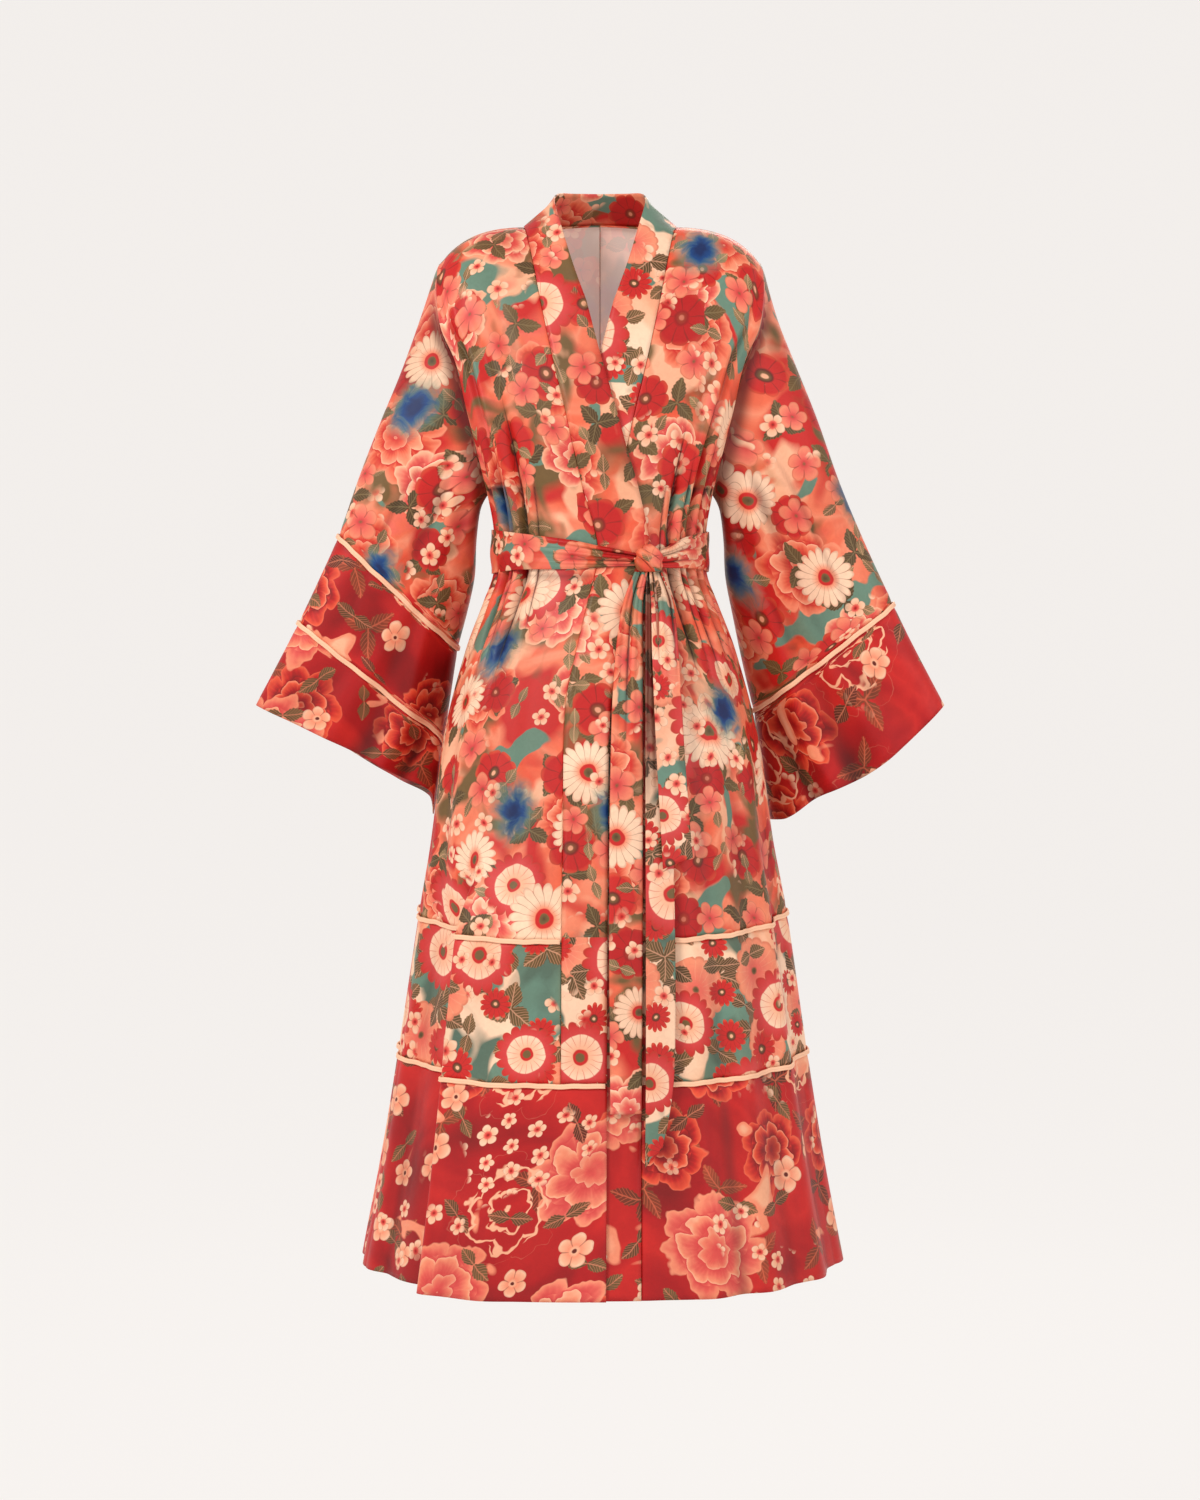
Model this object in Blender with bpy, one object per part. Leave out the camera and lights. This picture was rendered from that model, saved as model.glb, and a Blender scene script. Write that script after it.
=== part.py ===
"""Full-length kimono robe in its worn shape, with no wearer inside. Metres, +Z up, front towards -Y.

Height zero is the shoulder line beside the neck. Right and left are the wearer's, so the right side is at -X.
The body is one surface of turn and level: turn is the angle from centre front in degrees, positive towards +X, and
level is the height of a ring, from 0 at the shoulder line down to the hem. Panels, bands and piping all read it.
"""

import math

import bmesh
import bpy
from mathutils import Vector

# Cloth thickness, and the gaps that part the sewn pieces
CLOTH = 0.0012
BAND_CLOTH = 0.0022
BELT_CLOTH = 0.0016
HALF_SEAM = 0.0002
ARMHOLE_GAP = 0.0011
NECK_GAP = 0.0011
TOUCH = 0.0003

# Main levels
UNDERARM = -0.306
BELT_TOP = -0.355
BELT_BOTTOM = -0.407
HEM_TIER_FRONT = -0.999

# Shoulder and neck
NECK_HALF_WIDTH = 0.092
NECK_POINT_HEIGHT = 0.011
BACK_NECK_RISE = 0.011
BACK_NECK_DEPTH = 0.076
SHOULDER_LINE_Y = 0.008
SHOULDER_FALL = 2.2
SHOULDER_END_FALL = 190.0
SHOULDER_ROUND = 0.100
ARMHOLE_HALF_DEPTH = 0.052
ARMHOLE_ROUND = 0.100
SQUARENESS = 2.3

# Piping
PIPING_RADIUS = 0.0025
BAND_END_ABOVE_SEAM = 0.0032

# Rings of the body: level, half width, depth in front of the side seams, depth behind them
BODY_RINGS = (
    (0.000, 0.195, 0.050, 0.097),
    (-0.045, 0.195, 0.061, 0.101),
    (-0.100, 0.189, 0.078, 0.107),
    (-0.153, 0.172, 0.092, 0.110),
    (-0.211, 0.160, 0.105, 0.107),
    (-0.261, 0.148, 0.109, 0.100),
    (-0.306, 0.137, 0.110, 0.092),
    (-0.355, 0.1275, 0.1112, 0.0815),
    (-0.407, 0.1280, 0.1122, 0.0820),
    (-0.440, 0.140, 0.118, 0.092),
    (-0.500, 0.163, 0.132, 0.112),
    (-0.610, 0.192, 0.150, 0.140),
    (-0.732, 0.208, 0.170, 0.165),
    (-0.816, 0.223, 0.185, 0.180),
    (-0.985, 0.248, 0.205, 0.203),
    (-1.120, 0.270, 0.220, 0.222),
    (-1.245, 0.294, 0.235, 0.242),
)

# Front edges, as distances across the front: level, right seam, right free edge, left seam, left free edge
FRONT_EDGES = (
    (0.000, -0.0920, -0.0530, 0.0920, 0.0530),
    (-0.0116, -0.0875, -0.0450, 0.0875, 0.0450),
    (-0.045, -0.0800, -0.0310, 0.0800, 0.0310),
    (-0.094, -0.0700, -0.0160, 0.0700, 0.0160),
    (-0.153, -0.0570, 0.0000, 0.0570, 0.0000),
    (-0.211, -0.0425, 0.0175, 0.0425, -0.0175),
    (-0.261, -0.0310, 0.0315, 0.0310, -0.0315),
    (-0.306, -0.0200, 0.0450, 0.0200, -0.0450),
    (-0.381, -0.0020, 0.0580, 0.0020, -0.0580),
    (-0.440, -0.0140, 0.0430, 0.0150, -0.0400),
    (-0.500, -0.0280, 0.0260, 0.0330, -0.0210),
    (-0.560, -0.0400, 0.0130, 0.0455, -0.0085),
    (-0.700, -0.0430, 0.0095, 0.0475, -0.0065),
    (-1.245, -0.0460, 0.0070, 0.0475, -0.0065),
)

# Free edge of the neck band from centre back to the neck point and on down the front: station, x, y, z
NECK_EDGE = (
    (0, 0.000, 0.050, 0.055),
    (1, 0.030, 0.046, 0.055),
    (2, 0.050, 0.030, 0.053),
    (3, 0.055, 0.003, 0.041),
    (4, 0.047, -0.026, 0.011),
    (5, 0.032, -0.059, -0.040),
)

# Pleats drawn in by the belt: turn, half width in degrees, depth at the belt, depth at the hem, level where it fades out
PLEATS = (
    (-61.0, 3.4, 0.008, 0.003, -0.200),
    (-44.0, 3.4, 0.009, 0.000, -0.180),
    (42.0, 3.6, 0.008, 0.006, -0.210),
    (54.0, 3.2, 0.008, 0.004, -0.190),
    (66.0, 3.0, 0.007, 0.003, -0.220),
    (110.0, 3.4, 0.006, 0.004, -0.240),
    (134.0, 3.8, 0.008, 0.007, -0.200),
    (161.0, 3.4, 0.006, 0.005, -0.230),
    (-112.0, 3.4, 0.007, 0.004, -0.230),
    (-139.0, 3.8, 0.008, 0.006, -0.200),
    (-165.0, 3.2, 0.005, 0.005, -0.240),
)

# Deep fold in the right front of the skirt, where the front lies over the part beside it
DEEP_FOLD_TURN = -41.0
DEEP_FOLD_WIDTH = 0.042
DEEP_FOLD_TUCK = 1.6
DEEP_FOLD_DEPTH = 0.024
DEEP_FOLD_TURN_IN = 0.022
DEEP_FOLD_REACH = 0.080
DEEP_FOLD_POCKET = (-0.027, -0.005)
DEEP_FOLD_START = -0.700
DEEP_FOLD_FULL = -0.840

# How far the left front lies under the right one, and how far the band stands off at the neck
UNDERLAP = 0.0050
BAND_STAND = 0.004

# Sleeve sections: station, outer x, y, z, inner x, y, z, half depth. Outer is the shoulder edge, inner the underarm one
RIGHT_SLEEVE = (
    (0, 0.195, 0.008, -0.034, 0.137, 0.000, -0.306, 0.052),
    (1, 0.218, 0.004, -0.103, 0.146, 0.004, -0.332, 0.050),
    (2, 0.241, 0.002, -0.166, 0.151, 0.016, -0.368, 0.052),
    (3, 0.266, 0.000, -0.226, 0.154, 0.032, -0.412, 0.052),
    (4, 0.292, 0.000, -0.292, 0.164, 0.046, -0.455, 0.050),
    (5, 0.317, 0.000, -0.362, 0.176, 0.058, -0.500, 0.048),
    (6, 0.341, 0.000, -0.415, 0.186, 0.068, -0.560, 0.046),
    (7, 0.366, 0.000, -0.467, 0.196, 0.074, -0.621, 0.045),
    (8, 0.392, 0.000, -0.517, 0.204, 0.077, -0.668, 0.044),
    (9, 0.419, 0.000, -0.567, 0.214, 0.078, -0.715, 0.042),
)
LEFT_SLEEVE = (
    (0, 0.195, 0.008, -0.034, 0.137, 0.000, -0.306, 0.052),
    (1, 0.214, 0.004, -0.100, 0.146, 0.004, -0.332, 0.050),
    (2, 0.237, 0.002, -0.158, 0.151, 0.016, -0.368, 0.052),
    (3, 0.262, 0.000, -0.220, 0.154, 0.032, -0.412, 0.052),
    (4, 0.291, 0.000, -0.300, 0.164, 0.046, -0.460, 0.050),
    (5, 0.323, 0.000, -0.375, 0.176, 0.060, -0.515, 0.049),
    (6, 0.356, 0.000, -0.445, 0.191, 0.072, -0.578, 0.048),
    (7, 0.376, 0.000, -0.486, 0.199, 0.076, -0.626, 0.048),
    (8, 0.397, 0.000, -0.526, 0.206, 0.078, -0.670, 0.047),
    (9, 0.419, 0.000, -0.567, 0.214, 0.079, -0.715, 0.046),
)
SLEEVE_SQUARENESS = 2.2
CUFF_START = 8

# Drop of the cuff's edge below a straight line: share of the way in from the outer corner, front layer, back layer
RIGHT_CUFF = (
    (0.00, 0.000, 0.000),
    (0.25, 0.012, 0.008),
    (0.50, 0.022, 0.014),
    (0.75, 0.028, 0.018),
    (0.93, 0.033, 0.024),
    (1.00, 0.010, 0.010),
)
LEFT_CUFF = (
    (0.00, 0.000, 0.000),
    (0.25, -0.010, 0.013),
    (0.50, -0.015, 0.028),
    (0.75, -0.005, 0.041),
    (0.93, -0.006, 0.042),
    (1.00, 0.002, 0.002),
)

# Sleeve folds that fall from the underarm: share inwards at the armhole, share at the cuff, half width, depth
SLEEVE_FOLDS = (
    (0.80, 0.22, 0.055, 0.006),
    (0.92, 0.48, 0.050, 0.007),
    (0.97, 0.76, 0.045, 0.006),
)

# Belt: turn, centre height, half width. It narrows to the knot. Its oval: half width, depth in front, depth behind
BELT_LINE = (
    (-180.0, -0.381, 0.0240),
    (-90.0, -0.381, 0.0255),
    (-45.0, -0.381, 0.0225),
    (-12.0, -0.385, 0.0175),
    (6.0, -0.389, 0.0100),
    (20.0, -0.391, 0.0060),
    (34.0, -0.388, 0.0110),
    (50.0, -0.382, 0.0180),
    (90.0, -0.381, 0.0255),
    (180.0, -0.381, 0.0240),
)
BELT_LIFT = 0.0018
WAIST_OVAL = (0.1285, 0.1120, 0.0825)
KNOT_TURN = 22.0
KNOT_HEIGHT = -0.3905
KNOT_HALF_SIZE = (0.0175, 0.0105, 0.0175)
KNOT_BACK = 0.45
KNOT_UNDERSIDE = -0.80

# Belt ends: height, left edge, right edge, distance from the skirt
NEAR_TAIL = (
    (-0.4052, 0.0410, 0.0560, 0.0090),
    (-0.440, 0.0280, 0.0500, 0.0085),
    (-0.500, 0.0185, 0.0500, 0.0075),
    (-0.600, 0.0130, 0.0500, 0.0065),
    (-0.800, 0.0105, 0.0495, 0.0060),
    (-1.030, 0.0120, 0.0480, 0.0060),
)
SHORT_END = (
    (-0.4052, 0.0580, 0.0720, 0.0112),
    (-0.440, 0.0600, 0.0850, 0.0140),
    (-0.500, 0.0610, 0.0920, 0.0155),
    (-0.620, 0.0660, 0.0990, 0.0160),
    (-0.743, 0.0730, 0.1080, 0.0165),
)
LONG_TAIL = (
    (-0.4052, 0.0550, 0.0700, 0.0068),
    (-0.440, 0.0540, 0.0760, 0.0095),
    (-0.500, 0.0535, 0.0800, 0.0105),
    (-0.700, 0.0530, 0.0850, 0.0105),
    (-0.980, 0.0530, 0.0860, 0.0105),
    (-1.080, 0.0520, 0.0720, 0.0105),
)
TAIL_CLOTH = 0.0014

# How finely the surfaces are divided
ARMHOLE_STEPS = 8
WAIST_LEVELS = (BELT_TOP, -0.381, BELT_BOTTOM, -0.440)
SKIRT_START = -0.500
SKIRT_STEPS = 5
TIER_STEPS = 3
HEM_STEPS = 4
PLAIN_TURNS = (0, 8, 16, 25, 33, 72, 81, 90, 100, 120, 147, 172, 180)
DEEP_FOLD_OFFSETS = (-60, -44, -33, -25, -19, -13, -7, 0, 7, 13, 19, 25, 33, 44, 60)
DEEP_FOLD_RADIUS = 0.21
NECK_POINT_TURN = 155.1
CLOSEST_TURNS = 1.2
CLOSEST_BACK_TURNS = 1.6
CLEAR_OF_END = 2.0
CLEAR_OF_FOLD = 3.0
BELT_TURNS = 36
TAIL_STEPS = 12
KNOT_SEGMENTS = 12
KNOT_RINGS = 8

# Colours and roughness
MAIN_PRINT = (0.80, 0.28, 0.20)
TIER_PRINT = (0.78, 0.55, 0.42)
RED_PRINT = (0.52, 0.03, 0.03)
PIPING_COLOUR = (0.90, 0.60, 0.42)
SATIN_ROUGHNESS = 0.42


def smooth_step(start, end, value):
    share = min(1.0, max(0.0, (value - start) / (end - start)))
    return share * share * (3 - 2 * share)


def read_table(table, key, column):
    """Smooth value of a table's column at a key. Rows may run up or down, and ends are held."""
    rows = table if table[0][0] < table[-1][0] else table[::-1]
    if key <= rows[0][0]:
        return rows[0][column]
    if key >= rows[-1][0]:
        return rows[-1][column]
    i = next(k for k in range(len(rows) - 1) if key <= rows[k + 1][0])

    def rise(k):
        low, high = max(0, k - 1), min(len(rows) - 1, k + 1)
        return (rows[high][column] - rows[low][column]) / (rows[high][0] - rows[low][0])

    width = rows[i + 1][0] - rows[i][0]
    t = (key - rows[i][0]) / width
    start, end = rows[i][column], rows[i + 1][column]
    return (
        start * (2 * t**3 - 3 * t**2 + 1)
        + end * (3 * t**2 - 2 * t**3)
        + rise(i) * width * (t**3 - 2 * t**2 + t)
        + rise(i + 1) * width * (t**3 - t**2)
    )


def round_in(share):
    """A quarter circle from 0 to 1."""
    return math.sqrt(1 - (1 - min(1.0, max(0.0, share))) ** 2)


def shoulder_height(x, behind):
    past_neck = abs(x) - NECK_HALF_WIDTH
    if past_neck > 0:
        return NECK_POINT_HEIGHT - SHOULDER_FALL * past_neck**2 - SHOULDER_END_FALL * past_neck**4
    if behind:
        return NECK_POINT_HEIGHT + BACK_NECK_RISE * (1 - (x / NECK_HALF_WIDTH) ** 2)
    return NECK_POINT_HEIGHT


def shoulder_y(x, behind):
    inside = 1 - (x / NECK_HALF_WIDTH) ** 2
    if behind and inside > 0:
        return SHOULDER_LINE_Y + BACK_NECK_DEPTH * math.sqrt(inside)
    return SHOULDER_LINE_Y


def across(turn, level):
    """Distance from the centre line at a turn."""
    share = abs(math.sin(math.radians(turn))) ** (2 / SQUARENESS)
    return math.copysign(read_table(BODY_RINGS, level, 1) * share, math.sin(math.radians(turn)))


def turn_at(x, level):
    """Turn on the front that lies at a distance from the centre line."""
    share = min(1.0, abs(x) / read_table(BODY_RINGS, level, 1)) ** (SQUARENESS / 2)
    return math.copysign(math.degrees(math.asin(share)), x)


def pleat_depth(turn, level):
    total = 0.0
    for centre, half_width, at_belt, at_hem, fade in PLEATS:
        offset = (turn - centre + 180) % 360 - 180
        above = smooth_step(fade, BELT_TOP, level)
        below = smooth_step(BELT_BOTTOM, -0.75, level)
        depth = at_belt * above * (1 - below) + at_hem * below
        width = half_width * (1 + below)
        total += depth * math.exp(-((offset / width) ** 2))
    return total


def body(turn, level):
    """Point of the body surface."""
    turn = (turn + 180) % 360 - 180
    behind = abs(turn) > 90
    sine, cosine = math.sin(math.radians(turn)), math.cos(math.radians(turn))
    half_width = read_table(BODY_RINGS, level, 1)
    depth = read_table(BODY_RINGS, level, 3 if behind else 2)
    above_underarm = max(0.0, level - UNDERARM)
    armhole = ARMHOLE_HALF_DEPTH * round_in(above_underarm / ARMHOLE_ROUND)
    x = math.copysign(half_width * abs(sine) ** (2 / SQUARENESS), sine)
    y = armhole + (depth - armhole) * abs(cosine) ** (2 / SQUARENESS)
    y = y if behind else -y
    z = level
    if above_underarm > 0:
        z = UNDERARM + (shoulder_height(x, behind) - UNDERARM) * above_underarm / -UNDERARM
        start_y = shoulder_y(x, behind)
        y = start_y + (y - start_y) * round_in(-level / SHOULDER_ROUND)
    outward = Vector((x / half_width**2, y / depth**2, 0))
    outward = outward.normalized() if outward.length > 0 else Vector((0, 0, 0))
    point = Vector((x, y, z)) - outward * pleat_depth(turn, level)
    share = smooth_step(DEEP_FOLD_START, DEEP_FOLD_FULL, level)
    if share > 0:
        along = math.radians(turn - DEEP_FOLD_TURN) * DEEP_FOLD_RADIUS
        tuck = DEEP_FOLD_TUCK * along * math.exp(-((along / DEEP_FOLD_WIDTH) ** 2))
        out = DEEP_FOLD_DEPTH * math.tanh(along / DEEP_FOLD_TURN_IN) * math.exp(-((along / DEEP_FOLD_REACH) ** 2))
        towards_front = Vector((-outward.y, outward.x, 0))
        point += share * (out * outward - tuck * towards_front)
    return point


def left_front(turn, level):
    """The body surface on the left front, which lies under the right one near the centre."""
    point = body(turn, level)
    near_centre = 1 - smooth_step(0.065, 0.125, point.x)
    point.y += UNDERLAP * near_centre * smooth_step(-0.100, -0.170, level)
    return point


def lifted(surface, turn, level, lift):
    """A surface point moved outwards along the surface normal."""
    sideways = surface(turn + 0.2, level) - surface(turn - 0.2, level)
    upwards = surface(turn, level + 0.001) - surface(turn, level - 0.001)
    return surface(turn, level) + sideways.cross(upwards).normalized() * lift


def upper_tier_end(turn):
    front = math.cos(math.radians(turn))
    return -0.816 - (0.018 * front if front > 0 else -0.006 * front)


def middle_tier_end(turn):
    front = math.cos(math.radians(turn))
    return -0.985 - (0.014 * front if front > 0 else -0.006 * front)


def hem(turn):
    return -1.241 - 0.004 * max(0.0, math.cos(math.radians(turn)))


def sleeve(table, cuff, side, station, around):
    """Point of a sleeve. Around runs from the outer edge, 0, over the front to the inner one, 180, and back behind."""
    angle = math.radians(around)
    share = (1 - math.cos(angle)) / 2
    front = math.sin(angle) >= 0
    outer = Vector([read_table(table, station, column) for column in (1, 2, 3)])
    inner = Vector([read_table(table, station, column) for column in (4, 5, 6)])
    depth = read_table(table, station, 7)
    bulge = max(0.0, 1 - abs(math.cos(angle)) ** SLEEVE_SQUARENESS) ** (1 / SLEEVE_SQUARENESS)
    fold = 0.0
    for at_armhole, at_cuff, half_width, fold_depth in SLEEVE_FOLDS:
        line = at_armhole + (at_cuff - at_armhole) * station / 9
        fold += fold_depth * math.exp(-(((share - line) / half_width) ** 2)) * smooth_step(0.5, 3, station)
    point = outer + (inner - outer) * share
    point.y += (fold - depth * bulge) if front else (depth * bulge - fold)
    chord = (inner - outer).normalized()
    drop = read_table(cuff, share, 1 if front else 2)
    point += Vector((-chord.z, 0, chord.x)).normalized() * -drop * smooth_step(CUFF_START - 2, 9, station)
    if station < 1:
        turn = 89.999 if front else 90.001
        at_armhole = body(turn, UNDERARM * share)
        plain = Vector([table[0][c] + (table[0][c + 3] - table[0][c]) * share for c in (1, 2, 3)])
        plain.y += -table[0][7] * bulge if front else table[0][7] * bulge
        point += (at_armhole - plain) * (1 - station) ** 2
    point.x *= side
    return point


def spread(start, end, steps):
    return [start + (end - start) * i / steps for i in range(steps + 1)]


def armhole_levels():
    return [UNDERARM * (1 - math.cos(math.pi * i / ARMHOLE_STEPS)) / 2 for i in range(ARMHOLE_STEPS + 1)]


def all_turns():
    """Turns of the columns: plain ones on both sides, three at each pleat, and more at the deep fold."""
    turns = {float(t) for t in PLAIN_TURNS} | {-float(t) for t in PLAIN_TURNS if t < 180}
    for centre, half_width, *_ in PLEATS:
        turns |= {centre - half_width, centre, centre + half_width}
    fold = [DEEP_FOLD_TURN + math.degrees(mm / 1000 / DEEP_FOLD_RADIUS) for mm in DEEP_FOLD_OFFSETS]
    turns = {t for t in turns if not fold[0] - CLEAR_OF_FOLD < t < fold[-1] + CLEAR_OF_FOLD}
    ordered = sorted(turns | set(fold))
    kept = [ordered[0]]
    for turn in ordered[1:]:
        if turn - kept[-1] > CLOSEST_TURNS:
            kept.append(turn)
    return kept


def turns_between(start, end):
    """Column turns from start to end, with both ends."""
    return [start] + [t for t in all_turns() if start + CLEAR_OF_END < t < end - CLEAR_OF_END] + [end]


def material(name, colour, roughness=SATIN_ROUGHNESS):
    made = bpy.data.materials.new(name)
    made.use_nodes = True
    shader = made.node_tree.nodes["Principled BSDF"]
    shader.inputs["Base Color"].default_value = (*colour, 1)
    shader.inputs["Roughness"].default_value = roughness
    shader.inputs["Metallic"].default_value = 0
    return made


def add_object(name, data, finish):
    data.materials.append(finish)
    made = bpy.data.objects.new(name, data)
    bpy.context.scene.collection.objects.link(made)
    return made


def cloth(name, rows, finish, thickness=CLOTH, closed=False):
    """A cloth wall from rows of points. A closed one joins its last column to its first."""
    columns = len(rows[0])
    grid = bmesh.new()
    bmesh.ops.create_grid(grid, x_segments=columns - 1, y_segments=len(rows) - 1, size=1)
    grid.verts.ensure_lookup_table()
    order = sorted(grid.verts, key=lambda v: (round(v.co.y, 5), round(v.co.x, 5)))
    for index, vertex in enumerate(order):
        vertex.co = rows[index // columns][index % columns]
    if closed:
        bmesh.ops.remove_doubles(grid, verts=grid.verts, dist=0.00001)
    mesh = bpy.data.meshes.new(name)
    grid.to_mesh(mesh)
    grid.free()
    mesh.shade_smooth()
    made = add_object(name, mesh, finish)
    wall = made.modifiers.new("Wall", "SOLIDIFY")
    wall.thickness = thickness
    wall.offset = 0
    return made


def cord(name, points, finish, closed=False):
    """A piping tube along points."""
    curve = bpy.data.curves.new(name, "CURVE")
    curve.dimensions = "3D"
    curve.bevel_depth = PIPING_RADIUS
    curve.bevel_resolution = 0
    curve.use_fill_caps = not closed
    spline = curve.splines.new("POLY")
    spline.points.add(len(points) - 1)
    for spot, point in zip(spline.points, points):
        spot.co = (*point, 1)
    spline.use_cyclic_u = closed
    return add_object(name, curve, finish)


def skirt_levels(turn, end):
    """Levels from the underarm to the end of the upper tier at a turn."""
    lower = spread(SKIRT_START, end(turn), SKIRT_STEPS)
    lower[-1] += HALF_SEAM
    return [*WAIST_LEVELS, *lower]


def front_panel(name, side, finish):
    """Upper front from the shoulder seam to the first piping, between the front band's seam and the side."""
    surface = body if side < 0 else left_front
    levels = armhole_levels() + skirt_levels(0, upper_tier_end)
    rows = []
    for index, level in enumerate(levels):
        row = []
        for turn in front_turns(side, level):
            here = level
            if index > ARMHOLE_STEPS:
                here = skirt_levels(turn, upper_tier_end)[index - ARMHOLE_STEPS - 1]
            point = surface(turn, here)
            if index == 0:
                point.y -= 2 * HALF_SEAM
            row.append(point)
        rows.append(row)
    return cloth(name, rows, finish)


def front_turns(side, level):
    """Column turns over a front at a level, from just off the side seam to just off the band's seam."""
    seam = turn_at(read_table(FRONT_EDGES, level, 1 if side < 0 else 3) + side * HALF_SEAM, level)
    turns = [side * 90 + (seam - side * 90) * share for share in panel_shares(side)]
    turns[0] -= side * math.degrees(HALF_SEAM / read_table(BODY_RINGS, level, 1))
    return turns


def panel_shares(side):
    """Columns of a front panel as shares of the way from the side seam to the band's seam at the hem."""
    seam = turn_at(read_table(FRONT_EDGES, -1.0, 1 if side < 0 else 3), -1.0)
    turns = turns_between(-90, seam) if side < 0 else turns_between(seam, 90)
    return sorted((turn - side * 90) / (seam - side * 90) for turn in turns)


def front_tier(name, side, start, end, steps, finish, to_edge=False):
    """A lower tier of a front, from the side seam to the band's seam or the front's free edge."""
    surface = body if side < 0 else left_front
    rows = []
    for index in range(steps + 1):
        row = []
        level = start(0) + (end(0) - start(0)) * index / steps
        turns = front_turns(side, level)
        if to_edge:
            free = turn_at(read_table(FRONT_EDGES, level, 2), level)
            turns += [turns[-1] + (free - turns[-1]) * step / 3 for step in (1, 2, 3)]
        for turn in turns:
            here = start(turn) + (end(turn) - start(turn)) * index / steps
            here += {0: -HALF_SEAM, steps: HALF_SEAM}.get(index, 0)
            row.append(surface(turn, here))
        rows.append(row)
    return cloth(name, rows, finish)


def back_turns(side=None):
    """Column turns over the back, from the right side seam round to the left one, or one half of it."""
    fixed = {90.0, NECK_POINT_TURN, 180.0, 360 - NECK_POINT_TURN, 270.0}
    turns = sorted({t % 360 for t in all_turns() if 92 < abs(t) < 178} | fixed)
    turns = [t for i, t in enumerate(turns) if t in fixed or t - turns[i - 1] > CLOSEST_BACK_TURNS]
    if side is None:
        return turns
    return [t for t in turns if (t >= 180) == (side < 0) or t == 180.0]


def nudged(turn, level, seam_turns):
    """A turn moved off the seams that it ends at."""
    step = math.degrees(HALF_SEAM / read_table(BODY_RINGS, level, 1))
    low, high = seam_turns
    return turn + step if turn == low else turn - step if turn == high else turn


def back_panel(name, side, finish):
    """Half of the upper back, from the shoulder to the first piping, between the centre back and side seams."""
    turns = back_turns(side)
    rows = []
    for index, level in enumerate(armhole_levels() + skirt_levels(180, upper_tier_end)):
        row = []
        for turn in turns:
            here = level
            if index > ARMHOLE_STEPS:
                here = skirt_levels(turn, upper_tier_end)[index - ARMHOLE_STEPS - 1]
            point = body(nudged(turn, level, (turns[0], turns[-1])), here)
            if index == 0:
                point.y += 2 * HALF_SEAM
            row.append(point)
        rows.append(row)
    return cloth(name, rows, finish)


def back_tier(name, start, end, steps, finish):
    """A lower tier of the back, in one piece from side seam to side seam."""
    turns = back_turns()
    rows = []
    for index in range(steps + 1):
        row = []
        for turn in turns:
            level = start(turn) + (end(turn) - start(turn)) * index / steps
            level += {0: -HALF_SEAM, steps: HALF_SEAM}.get(index, 0)
            row.append(body(nudged(turn, level, (turns[0], turns[-1])), level))
        rows.append(row)
    return cloth(name, rows, finish)


def front_band(name, finish):
    """The long band: up the right front, round the neck and down the left front, one row of points across it each."""
    levels = armhole_levels()[3:] + skirt_levels(0, upper_tier_end)
    right_levels = levels[:-1] + spread(upper_tier_end(0), HEM_TIER_FRONT + BAND_END_ABOVE_SEAM, TIER_STEPS)
    left_levels = levels[:-1] + spread(upper_tier_end(0), hem(0), TIER_STEPS + HEM_STEPS)
    rows = [front_band_row(-1, level) for level in reversed(right_levels)]
    rows += [neck_band_row(-1, station) for station in (5, 4, 3, 2, 1)]
    rows += [neck_band_row(1, station) for station in (0, 1, 2, 3, 4, 5)]
    rows += [front_band_row(1, level) for level in left_levels]
    return cloth(name, rows, finish, BAND_CLOTH)


def front_band_row(side, level):
    surface = body if side < 0 else left_front
    columns = (1, 2) if side < 0 else (3, 4)
    seam, free = (read_table(FRONT_EDGES, level, column) for column in columns)
    gap = 2 * HALF_SEAM if level < -0.2 else NECK_GAP
    seam += gap if free > seam else -gap
    lift = BAND_STAND * smooth_step(-0.211, -0.094, level)
    row = []
    for share in (0, 0.5, 1):
        turn = turn_at(seam + (free - seam) * share, level)
        row.append(lifted(surface, turn, level, lift * share))
    if side > 0:
        beneath = UNDERLAP * smooth_step(-0.100, -0.170, level)
        row = [Vector((p.x, body(turn_at(p.x, level), level).y + beneath, p.z)) if p.x < 0.06 else p for p in row]
    return row


def neck_band_row(side, station):
    """A row across the neck band. Stations 0 to 3 follow the back neck, 4 and 5 the top of the front."""
    if station <= 3:
        x = abs(across((180, 172, 164, NECK_POINT_TURN)[station], 0))
        seam = Vector((x, shoulder_y(x, True), shoulder_height(x, True)))
    else:
        level = armhole_levels()[station - 3]
        seam = body(turn_at(read_table(FRONT_EDGES, level, 3), level), level)
    free = Vector([read_table(NECK_EDGE, station, column) for column in (1, 2, 3)])
    seam = seam + (free - seam).normalized() * NECK_GAP
    middle = (seam + free) / 2
    return [Vector((side * p.x, p.y, p.z)) for p in (seam, middle, free)]


def sleeve_piece(name, shape, stations, finish):
    """A tube of sleeve cloth from one station to the last, just off the pieces that it is sewn to."""
    around = spread(0, 360, 2 * ARMHOLE_STEPS)
    rows = []
    for index, station in enumerate(stations):
        row = [sleeve(*shape, station, angle) for angle in around]
        if station == 0:
            gaps = [ARMHOLE_GAP + CLOTH / 2 * ((1 - math.cos(math.radians(a))) / 2) ** 3 for a in around]
            row = [p + Vector((shape[2] * gap, 0, 0)) for p, gap in zip(row, gaps)]
        elif index == 0:
            ahead = [sleeve(*shape, stations[1], angle) for angle in around]
            row = [p + (q - p).normalized() * HALF_SEAM for p, q in zip(row, ahead)]
        if index == len(stations) - 1 and station < 9:
            row = [p + (q - p).normalized() * HALF_SEAM for p, q in zip(row, rows[-1])]
        rows.append(row)
    return cloth(name, rows, finish, closed=True)


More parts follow.
